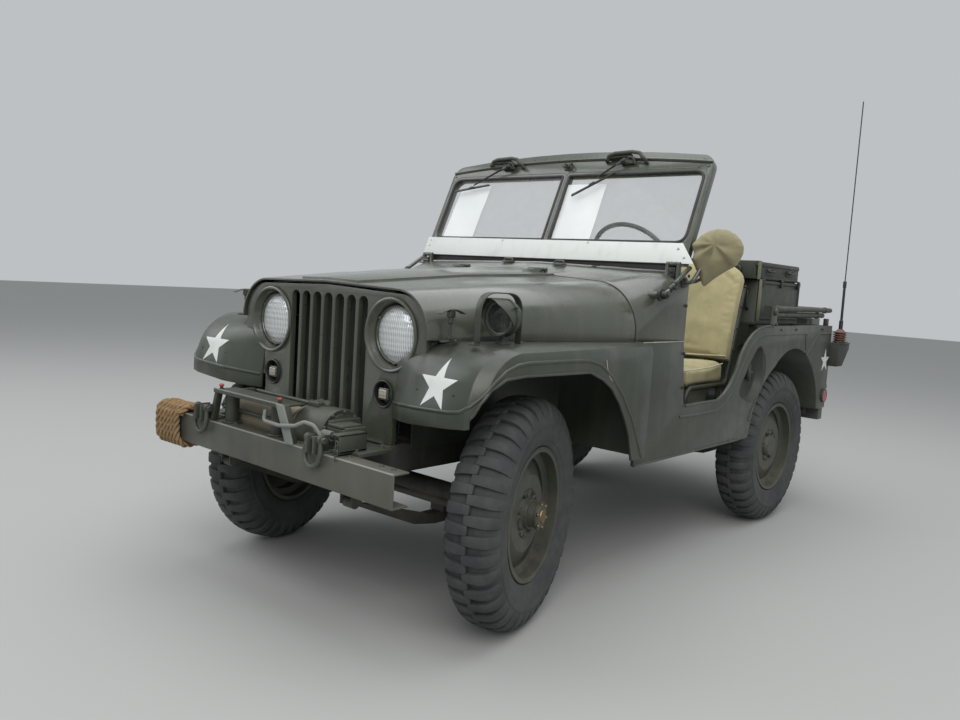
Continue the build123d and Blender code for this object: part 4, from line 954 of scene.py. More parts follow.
def add_fender_trim():
    beads, seams = Parts(), Parts()
    for side in SIDES:
        for row, lift, step, radius, sides in (
                (FENDER_BEAD, -2.0, 14, 6.5, 4), (OPENING_EDGE, -2.5, 20, 5.0, 3)):
            route = [(side * x, y, z) for x, y, z in row]
            beads.wire(laid_on(route, fender_panels, lift, step), radius, sides)
        seams.wire([(side * FENDER_SIDE_X, y, z) for y, z in FENDER_SEAM], 1.6, 2)
    beads.done("fender_beads", BODY_PAINT, "olive_paint")
    seams.done("fender_seams", WORN_SEAM, "olive_paint")


add_fender_trim()


# Stars


def star(centre, radius, sideways, carrier=None):
    """Upright five-pointed star that faces forward or sideways, pressed onto a carrier if one is given."""
    x, y, z = centre
    points = []
    for i in range(10):
        reach = radius * (1.0 if i % 2 == 0 else 0.385)
        angle = math.pi / 2 + i * math.pi / 5
        across, up = reach * math.cos(angle), reach * math.sin(angle)
        points.append(at(x, y + across, z + up) if sideways else at(x + across, y, z + up))
    piece = outline_face(points)
    bpy.ops.mesh.poke()
    bpy.ops.mesh.subdivide(number_cuts=4)
    back_to_object()
    if carrier:
        apply_modifier(piece, "SHRINKWRAP", target=carrier, wrap_method="PROJECT", use_project_y=True,
                       use_positive_direction=True, use_negative_direction=False, offset=0.0006)
    apply_modifier(piece, "SOLIDIFY", thickness=0.0005, offset=0)
    take(piece)
    edit_all()
    normals_out()
    return soften(piece, 40)


def add_stars():
    stars = [star((side * 600, -1500, 826), 80, False, fender_panels) for side in SIDES]
    stars += [star((side * (TUB_HALF + 0.6), 1580, 813), 69, True) for side in SIDES]
    finish(join(*stars), "stars", WHITE_PAINT, "olive_paint")
    # Black discs in the fender's holes: painted shade where the holes look dark
    hole_shade_dots = Parts()
    for side in SIDES:
        for x, z in ((520, 808), (676, 809)):
            place = laid_on([(side * x, -1430 + (z - 760) * 0.35, z)] * 2, fender_panels)[0]
            hole_shade_dots.bar((place[0], place[1] - 1.2, place[2]), (place[0], place[1] + 3, place[2]), 3.2, 14, 0.4)
    hole_shade_dots.done("fender_hole_shade", BLACK_PAINT_AND_HOLE_SHADE, "black_plastic")


add_stars()


# Lamps

BELL = ((-33, 101), (-5, 114), (-1, 120), (3, 122), (7.5, 120), (9, 116), (7, 111), (0, 107.5), (-25, 99.5),
        (-33, 97), (-33, 101))
LENS_RING = ((-33, 97.5), (-24, 96.5), (-20.5, 94), (-20, 91.5), (-23, 89), (-33, 88), (-33, 97.5))
LENS = ((-33, 89.5), (-27, 89), (-20, 80), (-13, 62), (-8.5, 40), (-6.5, 18), (-6, 0))
REFLECTOR = ((-34, 90), (-60, 66), (-78, 36), (-84, 0))
BUCKET = ((4, 46), (6, 43), (4, 40), (0, 39), (-26, 36), (-30, 30), (-30, 0))
DRUM = ((-78, 0), (-76, 24), (-62, 47), (-44, 56), (-4, 57.5), (0, 59), (3, 59), (4, 56), (1, 54), (-6, 52),
        (-10, 44), (-12, 0))


def blackout_lamp():
    """Drum on its post, with a pointed visor over the upper half of its face."""
    place = facing("front", BLACKOUT_X, BLACKOUT_Y, BLACKOUT_Z)
    pieces = Parts()
    pieces.turned(DRUM, place, 40)
    visor = turned([(-14, 61), (48, 60.5), (50, 59), (48, 57.5), (-14, 58), (-14, 61)], place, 48)
    pick(visor, lambda centre, normal: True)
    bpy.ops.mesh.bisect(plane_co=at(BLACKOUT_X, BLACKOUT_Y - 48, BLACKOUT_Z + 40), plane_no=(0, 0.72, 0.69),
                        clear_inner=True, use_fill=True)
    back_to_object()
    pieces.append(soften(visor))
    for ring in (((-40, 56.5), (-38, 60), (-30, 60), (-28, 57), (-30, 55), (-38, 55), (-40, 56.5)),
                 ((-66, 42), (-64, 46), (-58, 51), (-56, 49), (-60, 44), (-66, 42))):
        pieces.turned(ring, place, 40)
    foot_y = BLACKOUT_Y + 35
    pieces.bar((BLACKOUT_X, foot_y, FENDER_TOP_Z), (BLACKOUT_X, foot_y, BLACKOUT_Z - 46), 13)
    pieces.bar((BLACKOUT_X, foot_y, FENDER_TOP_Z - 1), (BLACKOUT_X, foot_y, FENDER_TOP_Z + 7), 24, 28, 1.5)
    pieces.bar((BLACKOUT_X + 54, foot_y - 20, BLACKOUT_Z + 34),
               (BLACKOUT_X + 66, foot_y - 20, BLACKOUT_Z + 36), 5)
    return pieces


def guard_strap():
    """Flat hoop over the blackout lamp, with a turned-out foot at each end."""
    low, high = GUARD_Y
    x = BLACKOUT_X - GUARD_WIDTH / 2
    sides = []
    for inset in (0, GUARD_STRAP):
        top = GUARD_TOP_Z - inset
        route = [(x, low + inset, FENDER_TOP_Z), (x, low + inset, top), (x, high - inset, top),
                 (x, high - inset, FENDER_TOP_Z)]
        sides.append(round_corners(route, [70 - inset] * 2, 9))
    pieces = Parts()
    pieces.plate(sides[0] + sides[1][::-1], (GUARD_WIDTH, 0, 0), 0.9, 2)
    for y, way in ((low, -1), (high, 1)):
        near, far = sorted((y - way * 3, y + way * 22))
        pieces.block((x - 1, near, FENDER_TOP_Z - 1), (x + GUARD_WIDTH + 1, far, FENDER_TOP_Z + 3.5), 1.2)
        pieces.bar((x + 12, y + way * 14, FENDER_TOP_Z), (x + 12, y + way * 14, FENDER_TOP_Z + 8), 6, 6, 1)
    return pieces


def add_lamps():
    bells, lenses, silver, buckets, amber = Parts(), Parts(), Parts(), Parts(), Parts()
    for side in SIDES:
        place = facing("front", side * LAMP_X, GRILLE_Y, LAMP_Z)
        bells.turned(BELL, place, 64)
        bells.turned(LENS_RING, place, 64)
        lenses.turned(LENS, place, 64)
        silver.turned(REFLECTOR, place, 48)
        for angle in (0.5, 2.6, 4.7):
            across, up = 94 * math.cos(angle), 94 * math.sin(angle)
            bells.turned([(0, 0), (0, 4.5), (3, 4.5), (4.5, 3), (4.5, 0)],
                         facing("front", side * LAMP_X + across, GRILLE_Y + 22, LAMP_Z + up), 12)
        buckets.turned(BUCKET, facing("front", side * MARKER_X, GRILLE_Y, MARKER_Z), 40)
        x = side * MARKER_X
        bells.block((x - 22, GRILLE_Y - 2, MARKER_Z - 20), (x + 22, GRILLE_Y + 26, MARKER_Z + 20), 4, 3)
        bells.block((x - 30, GRILLE_Y + 8, MARKER_Z - 10), (x + 30, GRILLE_Y + 14, MARKER_Z + 10), 2)
        amber.block((x - 17, GRILLE_Y - 8, MARKER_Z - 15), (x + 17, GRILLE_Y, MARKER_Z + 15), 4, 3)
    bells.done("lamp_bells", HOOD_PAINT, "olive_paint", "root", ("front_lamps",))
    lenses.done("headlamp_lenses", HEAD_LENS, "glass")
    silver.done("headlamp_reflectors", CHROME, "glass")
    buckets.done("marker_buckets", BLACK_PAINT_AND_HOLE_SHADE, "black_plastic")
    amber.done("marker_lenses", SMALL_LENS, "glass")
    blackout_lamp().done("blackout_lamp", BODY_PAINT, "olive_paint")
    face = facing("front", BLACKOUT_X, BLACKOUT_Y, BLACKOUT_Z)
    finish(turned([(-10, 50), (-7, 38), (-5.5, 18), (-5, 0)], face, 36), "blackout_lens", SMOKED_LENS,
           "glass")
    guard_strap().done("lamp_guard", BODY_PAINT, "olive_paint")


add_lamps()


# Hood catches and seal


def hood_catch():
    """Arched spring cap on a stem, hooked into a clip on the fender."""
    x, y = 548, -1301
    cap = [(x - 11, y + dy, 1036 + 13 * (1 - (dy / 54) ** 2)) for dy in range(-54, 55, 9)]
    under = [(px, py, pz - 3) for px, py, pz in cap]
    pieces = Parts()
    pieces.plate(cap + under[::-1], (22, 0, 0), 1.0, 2)
    pieces.block((x - 9, y - 13, 1022), (x + 9, y + 13, 1044), 4, 3)
    pieces.bar((x, y, 955), (x, y, 1026), 4.5, 16)
    pieces.bar((x, y, 1004), (x, y, 1024), 8, 16, 2)
    pieces.bar((x - 9, y, 958), (x + 9, y, 958), 4, 14)
    for dy in (-26, 26):
        pieces.block((x - 9, y + dy - 9, 947), (x + 9, y + dy + 9, 951.5), 1.2)
        pieces.bar((x, y + dy, 950), (x, y + dy, 955), 4.5, 6, 0.8)
    pieces.block((x - 7, y - 18, 947), (x + 7, y + 18, 953), 1.5)
    pieces.block((x - 6, y - 9, 950), (x + 6, y - 4, 966), 1.5)
    pieces.block((x - 6, y + 4, 950), (x + 6, y + 9, 966), 1.5)
    return join(*pieces)


# Outline of the grille's edge as (x, z), for the dark seal between it and the hood
SEAL_EDGE = ((486, 955), (481, 985), (462, 1021), (425, 1051), (376, 1073), (318, 1086), (200, 1094),
             (0, 1097))


def add_hood_fittings():
    catch = hood_catch()
    finish(join(catch, mirrored(catch)), "hood_catches", BODY_PAINT, "olive_paint")
    half = [(x, GRILLE_Y + 10, z) for x, z in SEAL_EDGE]
    route = half + [(-x, y, z) for x, y, z in half[-2::-1]]
    finish(wire(route, 3.2, 2), "hood_seal", SEAL_RUBBER, "black_plastic")


add_hood_fittings()


# Windshield: places are given as x and the distance up along its leaning face

WS_FOOT = (-158, 1256)
WS_LEAN = math.radians(23.4)
WS_HALF = 718
PANE_X = (17, 690)
PANE_S = (92, 418)


def on_screen(x, up, out=0.0):
    """Place on the windshield's front face, or the given distance in front of it."""
    c, s = math.cos(WS_LEAN), math.sin(WS_LEAN)
    return (x, WS_FOOT[0] + up * s - out * c, WS_FOOT[1] + up * c + out * s)


SCREEN_OUT = size(0, -math.cos(WS_LEAN), math.sin(WS_LEAN)) / MM


def screen_plate(points, out, thickness, bevel=0.8, segments=2):
    """Plate lying on the windshield, its back the given distance in front of the face."""
    return plate([on_screen(x, up, out) for x, up in points], SCREEN_OUT * thickness, bevel, segments)


def pane_edge(side, grow):
    """Closed outline of one window, grown all round, with its two outer corners rounded."""
    (near, far), (low, high) = PANE_X, PANE_S
    near, far, low, high = near - grow, far + grow, low - grow, high + grow
    middle = (low + high) / 2
    corners = [(near, middle), (near, low), (far, low), (far, high), (near, high), (near, middle)]
    path = round_corners([(side * x, up, 0) for x, up in corners],
                         (8 + grow, 46 + grow, 46 + grow, 8 + grow), 7)
    return [(x, up) for x, up, level in path[:-1]]


def on_edge(x):
    """Distance up to the windshield's crowned top edge at one value of x."""
    return 501 - 43 * (x / 712) ** 2


def cowl_top(x, y):
    """Height of the cowl under one place, or 0 where there is none."""
    hit, place, normal, face = bpy.data.objects["cowl_panel"].ray_cast(at(x, y, 1500), Vector((0, 0, -1)))
    return place.z / MM if hit else 0


def add_screen_trim():
    rubber_parts, lip_parts = Parts(), Parts()
    for side in SIDES:
        inner = pane_edge(side, 0)
        rubber_parts.wire([on_screen(x, up, -1.5) for x, up in inner], 6.5, 3, closed=True)
        lip_parts.wire([on_screen(x, up, -1.2) for x, up in pane_edge(side, 17)], 2.6, 2, closed=True)
    top = [on_screen(x, on_edge(x), 2.5) for x in range(-712, 713, 89)]
    lip_parts.wire(top, 5.5, 3)
    rubber_parts.wire([on_screen(x, on_edge(x) - 6.5, 0.5) for x in range(-708, 709, 88)], 3.0, 2)
    steps = list(range(-700, 701, 70))
    low = [(x, -154, max(1222, cowl_top(x, -156) + 4)) for x in steps]
    high = [(x, -154, 1262) for x in reversed(steps)]
    rubber_parts.plate(low + high, (0, 6, 0), 1.5)
    rubber_parts.done("screen_rubber", SEAL_RUBBER, "black_plastic", "windshield")
    lip_parts.append(screen_plate([(-716, 12), (716, 12), (716, -6), (-716, -6)], -2, 5.5, 1.5))
    for x, up in ((-690, 470), (672, 470), (698, 440), (-700, 440), (700, 60), (-705, 60), (640, 470),
                  (655, 440)):
        lip_parts.bar(on_screen(x, up, -1), on_screen(x, up, 3.5), 6, 16, 1.4)
    lip_parts.done("screen_trim", HOOD_PAINT, "olive_paint", "windshield")


STRIP = ((-731, 90), (688, 86), (760, -4), (-730, -5))
# Columns: the four corners of each sheet behind the glass, as (x, distance up)
PAPERS = (
    ((-650, 102), (-454, 104), (-448, 388), (-640, 360)),
    ((24, 100), (228, 102), (226, 378), (20, 378)),
)


def add_strip_and_papers():
    strip = screen_plate(STRIP, 3.2, 2.6, 0.7)
    finish(strip, "white_strip", WHITE_PAINT, "olive_paint", "windshield")
    heads = [bar(on_screen(x, up, 5), on_screen(x, up, 8.5), 5, 14, 1.2)
             for x, up in ((-706, 46), (-706, 74), (676, 60), (712, 22), (-240, 80), (240, 80))]
    finish(join(*heads), "strip_screws", STEEL, "dark_steel", "windshield")
    sheets = []
    for corners in PAPERS:
        sheet = outline_face([at(*on_screen(x, up, -11.5)) for x, up in corners])
        bpy.ops.mesh.subdivide(number_cuts=9)
        back_to_object()
        for point in sheet.data.vertices:
            run = point.co.x / MM * 0.031 + point.co.z / MM * 0.017
            point.co += Vector((0, -0.0008, 0.0004)) * (math.sin(run) + 0.6 * math.sin(run * 2.3))
        sheets.append(apply_modifier(sheet, "SOLIDIFY", thickness=0.0006, offset=0))
    finish(soften(join(*sheets), 60), "papers", PAPER, "canvas", "windshield")


# Columns: middle of the motor's bracket, wiper pivot, arm's end, blade's two ends; all (x, distance up)
WIPERS = (
    ((-362, 491), (-352, 466), (-538, 373), (-660, 347), (-442, 379)),
    ((312, 488), (296, 465), (189, 394), (71, 309), (264, 420)),
)


def wiper(bracket, pivot, tip, low, high):
    """Motor's looped cover bar, pivot with its nut, flat arm and rubber blade in its holder."""
    dark, olive = Parts(), Parts()
    x, up = bracket
    loop = [(x - 100, up - 6, 10), (x - 96, up + 8, 26), (x - 60, up + 14, 34), (x + 30, up + 16, 36),
            (x + 68, up + 8, 36), (x + 84, up - 12, 30), (x + 92, up - 16, 8)]
    path = round_corners([on_screen(a, b, c) for a, b, c in loop], [14] * 5, 5)
    olive.wire(path, 8.5, 4)
    olive.append(screen_plate([(x - 96, up - 2), (x - 96, up + 12), (x + 20, up + 16), (x + 20, up + 2)], 6,
                              20, 4, 3))
    olive.append(screen_plate([(x - 30, up - 28), (x - 30, up + 4), (x + 34, up + 4), (x + 34, up - 28)], 1,
                              16, 3, 2))
    olive.bend([on_screen(x + 6, up - 2, 22), on_screen(x + 34, up - 6, 30), on_screen(x + 44, up - 30, 12)],
               [16], 6, 5.5, 3)
    for dx, dy in ((-112, -4), (92, -22)):
        dark.bar(on_screen(x + dx, up + dy, 0), on_screen(x + dx, up + dy, 14), 8, 6, 1)
        dark.bar(on_screen(x + dx, up + dy, 10), on_screen(x + dx, up + dy, 20), 4, 12, 0.8)
    px, pup = pivot
    dark.bar(on_screen(px, pup, 2), on_screen(px, pup, 30), 9, 20, 1.5)
    dark.bar(on_screen(px, pup, 26), on_screen(px, pup, 36), 6, 6, 1)
    start, end = Vector(on_screen(px, pup, 29)), Vector(on_screen(*tip, 17))
    along = (end - start).normalized()
    across = along.cross(SCREEN_OUT).normalized()
    back = start - along * 18
    corners = [back + across * 6.5, end + across * 3.2, end - across * 3.2, back - across * 6.5]
    dark.plate(corners, SCREEN_OUT * 3.2, 0.7, 1)
    dark.wire([start + along * 30 + SCREEN_OUT * 5, end - along * 8 + SCREEN_OUT * 4], 2.4, 2)
    one, two = Vector(on_screen(*low, 7)), Vector(on_screen(*high, 7))
    way = (two - one).normalized()
    side = way.cross(SCREEN_OUT).normalized()
    for inset, half, out, thick in ((0, 1.6, -4.5, 8.0), (4, 4.2, 3.0, 3.2)):
        first, last = one + way * inset + SCREEN_OUT * out, two - way * inset + SCREEN_OUT * out
        corners = [first + side * half, last + side * half, last - side * half, first - side * half]
        dark.plate(corners, SCREEN_OUT * thick, 0.5, 1)
    middle = (one + two) / 2
    dark.plate([middle - way * 14 + side * 5, middle + way * 14 + side * 5, middle + way * 14 - side * 5,
                middle - way * 14 - side * 5], SCREEN_OUT * 12, 1.2, 2)
    dark.bar(middle + side * 7 + SCREEN_OUT * 9, middle - side * 7 + SCREEN_OUT * 9, 2.6, 10, 0.5)
    return dark, olive


def add_wipers():
    dark, olive = Parts(), Parts()
    for row in WIPERS:
        black, green = wiper(*row)
        dark += black
        olive += green
    # Catch in the middle of the frame's top, with its wing nut
    x, up = 0, 462
    olive.append(screen_plate([(x - 20, up - 14), (x - 20, up + 16), (x + 20, up + 16), (x + 20, up - 14)],
                              1, 6, 1.5))
    for dx in (-16, 16):
        olive.wire([on_screen(x + dx, up + 16, 8), on_screen(x + dx * 1.3, up + 6, 24),
                    on_screen(x + dx * 0.9, up - 8, 26), on_screen(x + dx * 0.3, up - 6, 12)], 4.5, 3)
    dark.bar(on_screen(x, up, 4), on_screen(x, up, 30), 5, 14)
    dark.bar(on_screen(x, up, 14), on_screen(x, up, 20), 11, 18, 1.5)
    dark.done("wipers", BLACK_PAINT_AND_HOLE_SHADE, "black_plastic", "windshield")
    olive.done("wiper_motors", GEAR_PAINT, "gear_paint", "windshield")


def add_screen_fittings():
    """Hinge blocks, footman loops on the cowl, and the clamps on the side struts."""
    olive, dark = Parts(), Parts()
    for side in SIDES:
        x = side * 680
        dark.block((x - 15, -190, 1197), (x + 15, -178, 1238), 3)
        for z in (1204, 1222):
            dark.bar((x, -194, z), (x, -188, z), 6, 6, 1)
    for x in (-635, -100, 181):
        z = 1236 - 0.00006 * x * x
        olive.block((x - 30, -262, z - 7), (x + 30, -236, z - 1), 2)
        loop = [(x - 22, -249, z - 4), (x - 22, -249, z + 10), (x + 22, -249, z + 10), (x + 22, -249, z - 4)]
        olive.bend(loop, [6, 6], 4, 3.6, 3)
        for dx in (-26, 26):
            dark.bar((x + dx, -249, z - 4), (x + dx, -249, z + 2), 4, 6, 0.8)
    foot_y, foot_z = STRUT_FOOT
    for side in SIDES:
        foot = Vector((side * STRUT_X, foot_y, foot_z))
        head = Vector((side * STRUT_X, -150, 1240))
        way = (head - foot).normalized()
        for share, radius, half in ((0.24, 12.5, 14), (0.40, 11.5, 8)):
            spot = foot.lerp(head, share)
            dark.bar(spot - way * half, spot + way * half, radius, 16, 2)
        spot = foot.lerp(head, 0.24)
        dark.bar(spot, spot + Vector((side * 20, 0, 0)), 4, 12)
        wing = [spot + Vector((side * 20, dy, dz)) for dy, dz in ((-16, 10), (-6, 3), (6, -3), (16, 10))]
        dark.wire(wing, 3.6, 3)
        for inner, outer, radius, sides, bevel in ((728, 752, 15, 24, 2), (752, 758, 8, 6, 1),
                                                   (716, 729, 24, 24, 2)):
            dark.bar((side * inner, foot_y, foot_z), (side * outer, foot_y, foot_z), radius, sides, bevel)
    olive.done("cowl_loops", HOOD_PAINT, "olive_paint")
    dark.done("screen_hardware", BLACK_PAINT_AND_HOLE_SHADE, "black_plastic")


add_screen_trim()
add_strip_and_papers()
add_wipers()
add_screen_fittings()


# Body: pressed beads, filler recess, reflectors, and what stands in the rear

# Edge of the door opening, and the second bead pressed beside it, as (y, z)
DOOR_EDGE = (
    (-60, 688), (60, 684), (235, 685), (286, 698), (354, 742), (422, 826), (472, 895), (528, 950),
    (600, 990), (700, 1007), (790, 1008),
)
DOOR_BEAD = (
    (-100, 640), (60, 638), (250, 641), (318, 660), (390, 709), (460, 800), (508, 868), (558, 918),
    (622, 952), (705, 966), (790, 967), (1262, 967),
)
SIDE_BEADS = (
    DOOR_EDGE,
    DOOR_BEAD,
    ((1268, 862), (1282, 852), (1298, 862), (1440, 966), (1640, 967)),
    ((1262, 967), (1248, 955), (1262, 880)),
    ((608, 560), (640, 622), (692, 700), (725, 731), (740, 780), (738, 830), (722, 872), (694, 890)),
)
FILLER = (
    (664, 916), (628, 905), (590, 872), (552, 832), (512, 786), (478, 742), (466, 712), (474, 690),
    (500, 676), (552, 660), (606, 648), (650, 662), (688, 700), (712, 745), (716, 800), (706, 858),
    (690, 900),
)


def filler_recess():
    """Deep pan in the side panel, with the filler's neck and cap at its bottom."""
    pan = outline_face([at(TUB_HALF + 0.5, y, z) for y, z in FILLER])
    middle = at(TUB_HALF, 598, 770)
    for step, share in ((5, 0.985), (29, 0.90), (10, 0.80)):
        bpy.ops.mesh.extrude_region_move(TRANSFORM_OT_translate={"value": size(-step, 0, 0)})
        bpy.ops.transform.resize(value=(1, share, share), center_override=middle)
    back_to_object()
    pick(pan, lambda centre, normal: centre.x > middle.x + 0.0002)
    bpy.ops.mesh.delete(type="FACE")
    back_to_object()
    apply_modifier(pan, "SOLIDIFY", thickness=0.0025, offset=0)
    take(pan)
    edit_all()
    normals_out()
    pieces = Parts([soften(pan, 40)])
    place = Matrix.Translation(at(TUB_HALF - 44, 606, 790)) @ Matrix.Rotation(0.35, 4, "Z")
    pieces.turned([(0, 0), (0, 34), (14, 34), (14, 41), (20, 43), (27, 41), (28, 30), (29, 0)], place, 32)
    pieces.turned([(28, 0), (28, 5), (33, 4), (34, 0)], place, 16)
    pieces.bar((TUB_HALF - 15, 584, 790), (TUB_HALF - 15, 628, 790), 5, 16, 2)
    return join(*pieces)


def add_body_trim():
    panel = bpy.data.objects["tub_panel"]
    beads = Parts()
    for side in SIDES:
        for row in SIDE_BEADS[: 5 if side > 0 else 4]:
            path = laid_on([(side * TUB_HALF, y, z) for y, z in row], panel, -2.0, 18)
            beads.wire(path, 6.0, 4)
        beads.wire([(side * (TUB_HALF - 1), y, 482) for y in (-436, 0, 500)], 5.0, 3)
    beads.done("body_beads", BODY_PAINT, "olive_paint")
    # Openings for the filler recess and under the wheel houses, whose rear feet end level with the sides
    cutters = (
        plate([(TUB_HALF - 30, y, z) for y, z in FILLER], (60, 0, 0)),
        plate([(-760, y, z) for y, z in ((1484, 300), (1600, 300), (1600, 545), (1484, 545))], (1520, 0, 0)),
    )
    for cutter in cutters:
        apply_modifier(panel, "BOOLEAN", operation="DIFFERENCE", object=cutter, solver="EXACT")
        bpy.data.objects.remove(cutter)
    soften(panel, 35)
    # The recess pan takes the darker olive that paints the shade inside it
    finish(filler_recess(), "filler_recess", RECESS_SHADE_PAINT, "olive_paint")
    rims, reds = Parts(), Parts()
    for side in SIDES:
        place = facing("left" if side > 0 else "right", side * TUB_HALF, 1612, 615)
        rims.turned([(0, 0), (0, 38), (8, 38), (10.5, 36), (10.5, 32), (8, 31), (7, 0)], place, 40)
        reds.turned([(7, 32), (9.5, 30), (11, 20), (11.5, 0)], place, 36)
        place = facing("rear", side * (TUB_HALF - 57), TUB_REAR_Y, 660)
        rims.turned([(0, 0), (0, 42), (6, 45), (12, 48), (40, 48), (43, 46), (43, 41), (38, 40), (38, 0)],
                    place, 40)
        reds.turned([(38, 40), (42, 38), (45, 24), (46, 0)], place, 36)
        for up in (-30, 30):
            x = side * (TUB_HALF - 57) + up * 0.55
            rims.bar((x, TUB_REAR_Y + 42, 660 + up), (x, TUB_REAR_Y + 48, 660 + up), 4, 12, 1)
    rims.done("rear_lamp_cases", BODY_PAINT, "olive_paint", "root", ("rear_lamps",))
    reds.done("rear_lamp_lenses", RED_LENS, "red_lens")
    snaps, seams = Parts(), Parts()
    for side in SIDES:
        for y, z in ((-128, 1208), (-126, 1090), (-110, 900), (-96, 760)):
            snaps.bar((side * (TUB_HALF - 2), y, z), (side * (TUB_HALF + 4), y, z), 6.5, 16, 1.4)
        seams.wire([(side * (TUB_HALF + 0.4), y, 948) for y in (-438, -118)], 2.2, 3)
    snaps.done("door_snaps", BLACK_PAINT_AND_HOLE_SHADE, "dark_steel")
    seams.done("cowl_seams", WORN_SEAM, "olive_paint")


def add_radio_trim():
    """Lids, catches, handles, knobs, dials and straps of the two radio cases."""
    olive, dark = Parts(), Parts()
    x = 600
    # Lower lid's rim, its two upright beads, and the upper lid's two: low y and z, high x, y and z, bevel
    for y0, z0, x1, y1, z1, bevel in (
            (866, 1210, 5, 1429, 1224, 2), (866, 1030, 4, 1429, 1040, 2), (870, 1034, 4, 882, 1218, 2),
            (1413, 1034, 4, 1425, 1218, 2), (806, 1296, 6, 1384, 1312, 2), (806, 1236, 4, 1384, 1244, 1.5)):
        olive.block((x - 2, y0, z0), (x + x1, y1, z1), bevel)
    for y in (990, 1260):
        olive.block((x - 1, y - 44, 1254), (x + 5, y + 44, 1290), 3)
        route = [(x + 4, y - 34, 1280), (x + 18, y - 30, 1272), (x + 18, y + 30, 1272),
                 (x + 4, y + 34, 1280)]
        dark.bend(route, [8, 8], 5, 5, 3)
        for dy in (-36, 36):
            dark.bar((x + 4, y + dy, 1280), (x + 9, y + dy, 1280), 8, 14, 1.5)
    for y in (905, 1150, 1390):
        dark.block((x + 2, y - 11, 1196), (x + 12, y + 11, 1238), 2.5)
        dark.bar((x + 10, y - 13, 1228), (x + 10, y + 13, 1228), 4, 12, 0.8)
    # Front of the cases: knobs, dials and handles that face forward
    for fx, z, r in ((180, 1275, 14), (240, 1275, 20), (330, 1268, 26), (420, 1275, 16), (520, 1275, 20)):
        dark.bar((fx, 799, z), (fx, 780, z), r, 28, 3)
    for fx in (150, 560):
        route = [(fx, 859, 1080), (fx, 836, 1090), (fx, 836, 1170), (fx, 859, 1180)]
        dark.bend(route, [10, 10], 5, 5.5, 3)
    for fx, z, r in ((230, 1150, 24), (310, 1150, 24), (430, 1140, 34), (250, 1080, 14), (330, 1080, 14)):
        dark.bar((fx, 859, z), (fx, 842, z), r, 28, 3)
    olive.done("radio_lids", RADIO_PAINT, "olive_paint")
    dark.done("radio_fittings", BLACK_PAINT_AND_HOLE_SHADE, "black_plastic")
    straps = Parts()
    for low, high in (((x + 6.5, 824, 1230), (x + 9.5, 862, 1321)), ((108, 824, 1318), (x + 9.5, 862, 1321)),
                      ((x + 4.5, 862, 1024), (x + 8.5, 896, 1232))):
        straps.block(low, high, 1)
    straps.done("radio_straps", WEBBING, "canvas")


def add_antenna_and_bows():
    x, y = TUB_HALF + 13, TUB_REAR_Y + 105
    ribs = [(0, 0), (0, 26)]
    for i in range(5):
        ribs += [(4 + 13 * i, 26), (7 + 13 * i, 36), (12 + 13 * i, 36), (15 + 13 * i, 26)]
    ribs += [(72, 22), (80, 14), (84, 0)]
    place = facing("up", x, y, 910)
    finish(turned(ribs, place, 36), "antenna_insulator", INSULATOR, "black_plastic")
    edge = [(1650, 910), (1840, 910), (1840, 878), (1746, 782), (1650, 782)]
    case = plate([(TUB_HALF - 49, y, z) for y, z in edge], (94, 0, 0), 4, 2)
    finish(case, "antenna_case", CHASSIS_PAINT, "gear_paint", "root", ("antenna_mount",))
    pieces = Parts()
    pieces.block((674, 1652, 908), (774, 1842, 914), 2)
    for px in (690, 756):
        for py in (1668, 1828):
            pieces.bar((px, py, 912), (px, py, 920), 6, 6, 1)
    pieces.bar((x - 0.4, y + 0.2, 988), (x - 1.2, y + 0.6, 1040), 11, 20, 2)
    pieces.bar((x - 3.6, y + 1.8, 1225), (x - 4.2, y + 2.2, 1262), 9.5, 18, 2)
    pieces.done("antenna_fittings", BLACK_PAINT_AND_HOLE_SHADE, "black_plastic")
    fittings = Parts()
    for side in SIDES:
        for reach, z, half in ((1690, 1092, 700), (1602, 1062, 690)):
            for py in (880, reach - 120):
                fittings.bar((side * half, py - 12, z), (side * half, py + 12, z), 17, 20, 2)
        fittings.bar((side * 714, 800, 1076), (side * 736, 800, 1076), 17, 6, 2)
        fittings.bar((side * 690, 800, 1062), (side * 690, 800, 1098), 18, 20, 3)
    fittings.done("bow_fittings", GEAR_PAINT, "gear_paint", "top_bows")
    posts = Parts()
    for side in SIDES:
        for py in (776, 824):
            posts.bar((side * 722, py, 1016), (side * 732, py, 1016), 7, 6, 1)
        for py in (900, 1100, 1500):
            posts.bar((side * 722, py, 990), (side * 731, py, 990), 6, 14, 1.2)
        posts.block((side * 700 - 12, 1600, 1006), (side * 700 + 12, 1624, 1046), 3)
    posts.done("body_bolts", BODY_PAINT, "olive_paint")


add_body_trim()
add_radio_trim()
add_antenna_and_bows()


# Bumper and winch


def cup_bolt(x, y, z, radius=8, height=5):
    """Hexagon bolt head on a washer, its axis upright."""
    return [bar((x, y, z - 1), (x, y, z + 1.5), radius * 1.35, 20, 0.6),
            bar((x, y, z), (x, y, z + height), radius, 6, 1)]


def shackle(side):
    """Bow that hangs on the bumper's face from its pin, the ears flattened where the pin goes through."""
    x = side * SHACKLE_X
    y = BUMPER_Y - 15
    half = [(30, y + 7, 650), (32, y + 4, 628), (38, y, 598), (30, y - 3, 568)]
    bow = [(x - dx, by, z) for dx, by, z in half] + [(x, y - 4, 552)]
    bow += [(x + dx, by, z) for dx, by, z in reversed(half)]
    pieces = Parts()
    pieces.bend(bow, [24] * 7, 5, 8.2, 4)
    for near, far, radius, sides, bevel in (
            (24, 36, 15, 28, 2.5), (-24, -36, 15, 28, 2.5), (-46, 44, 7, 18, 1.2), (40, 50, 11, 6, 1.4)):
        pieces.bar((x + near, y + 7, 640), (x + far, y + 7, 640), radius, sides, bevel)
    return pieces


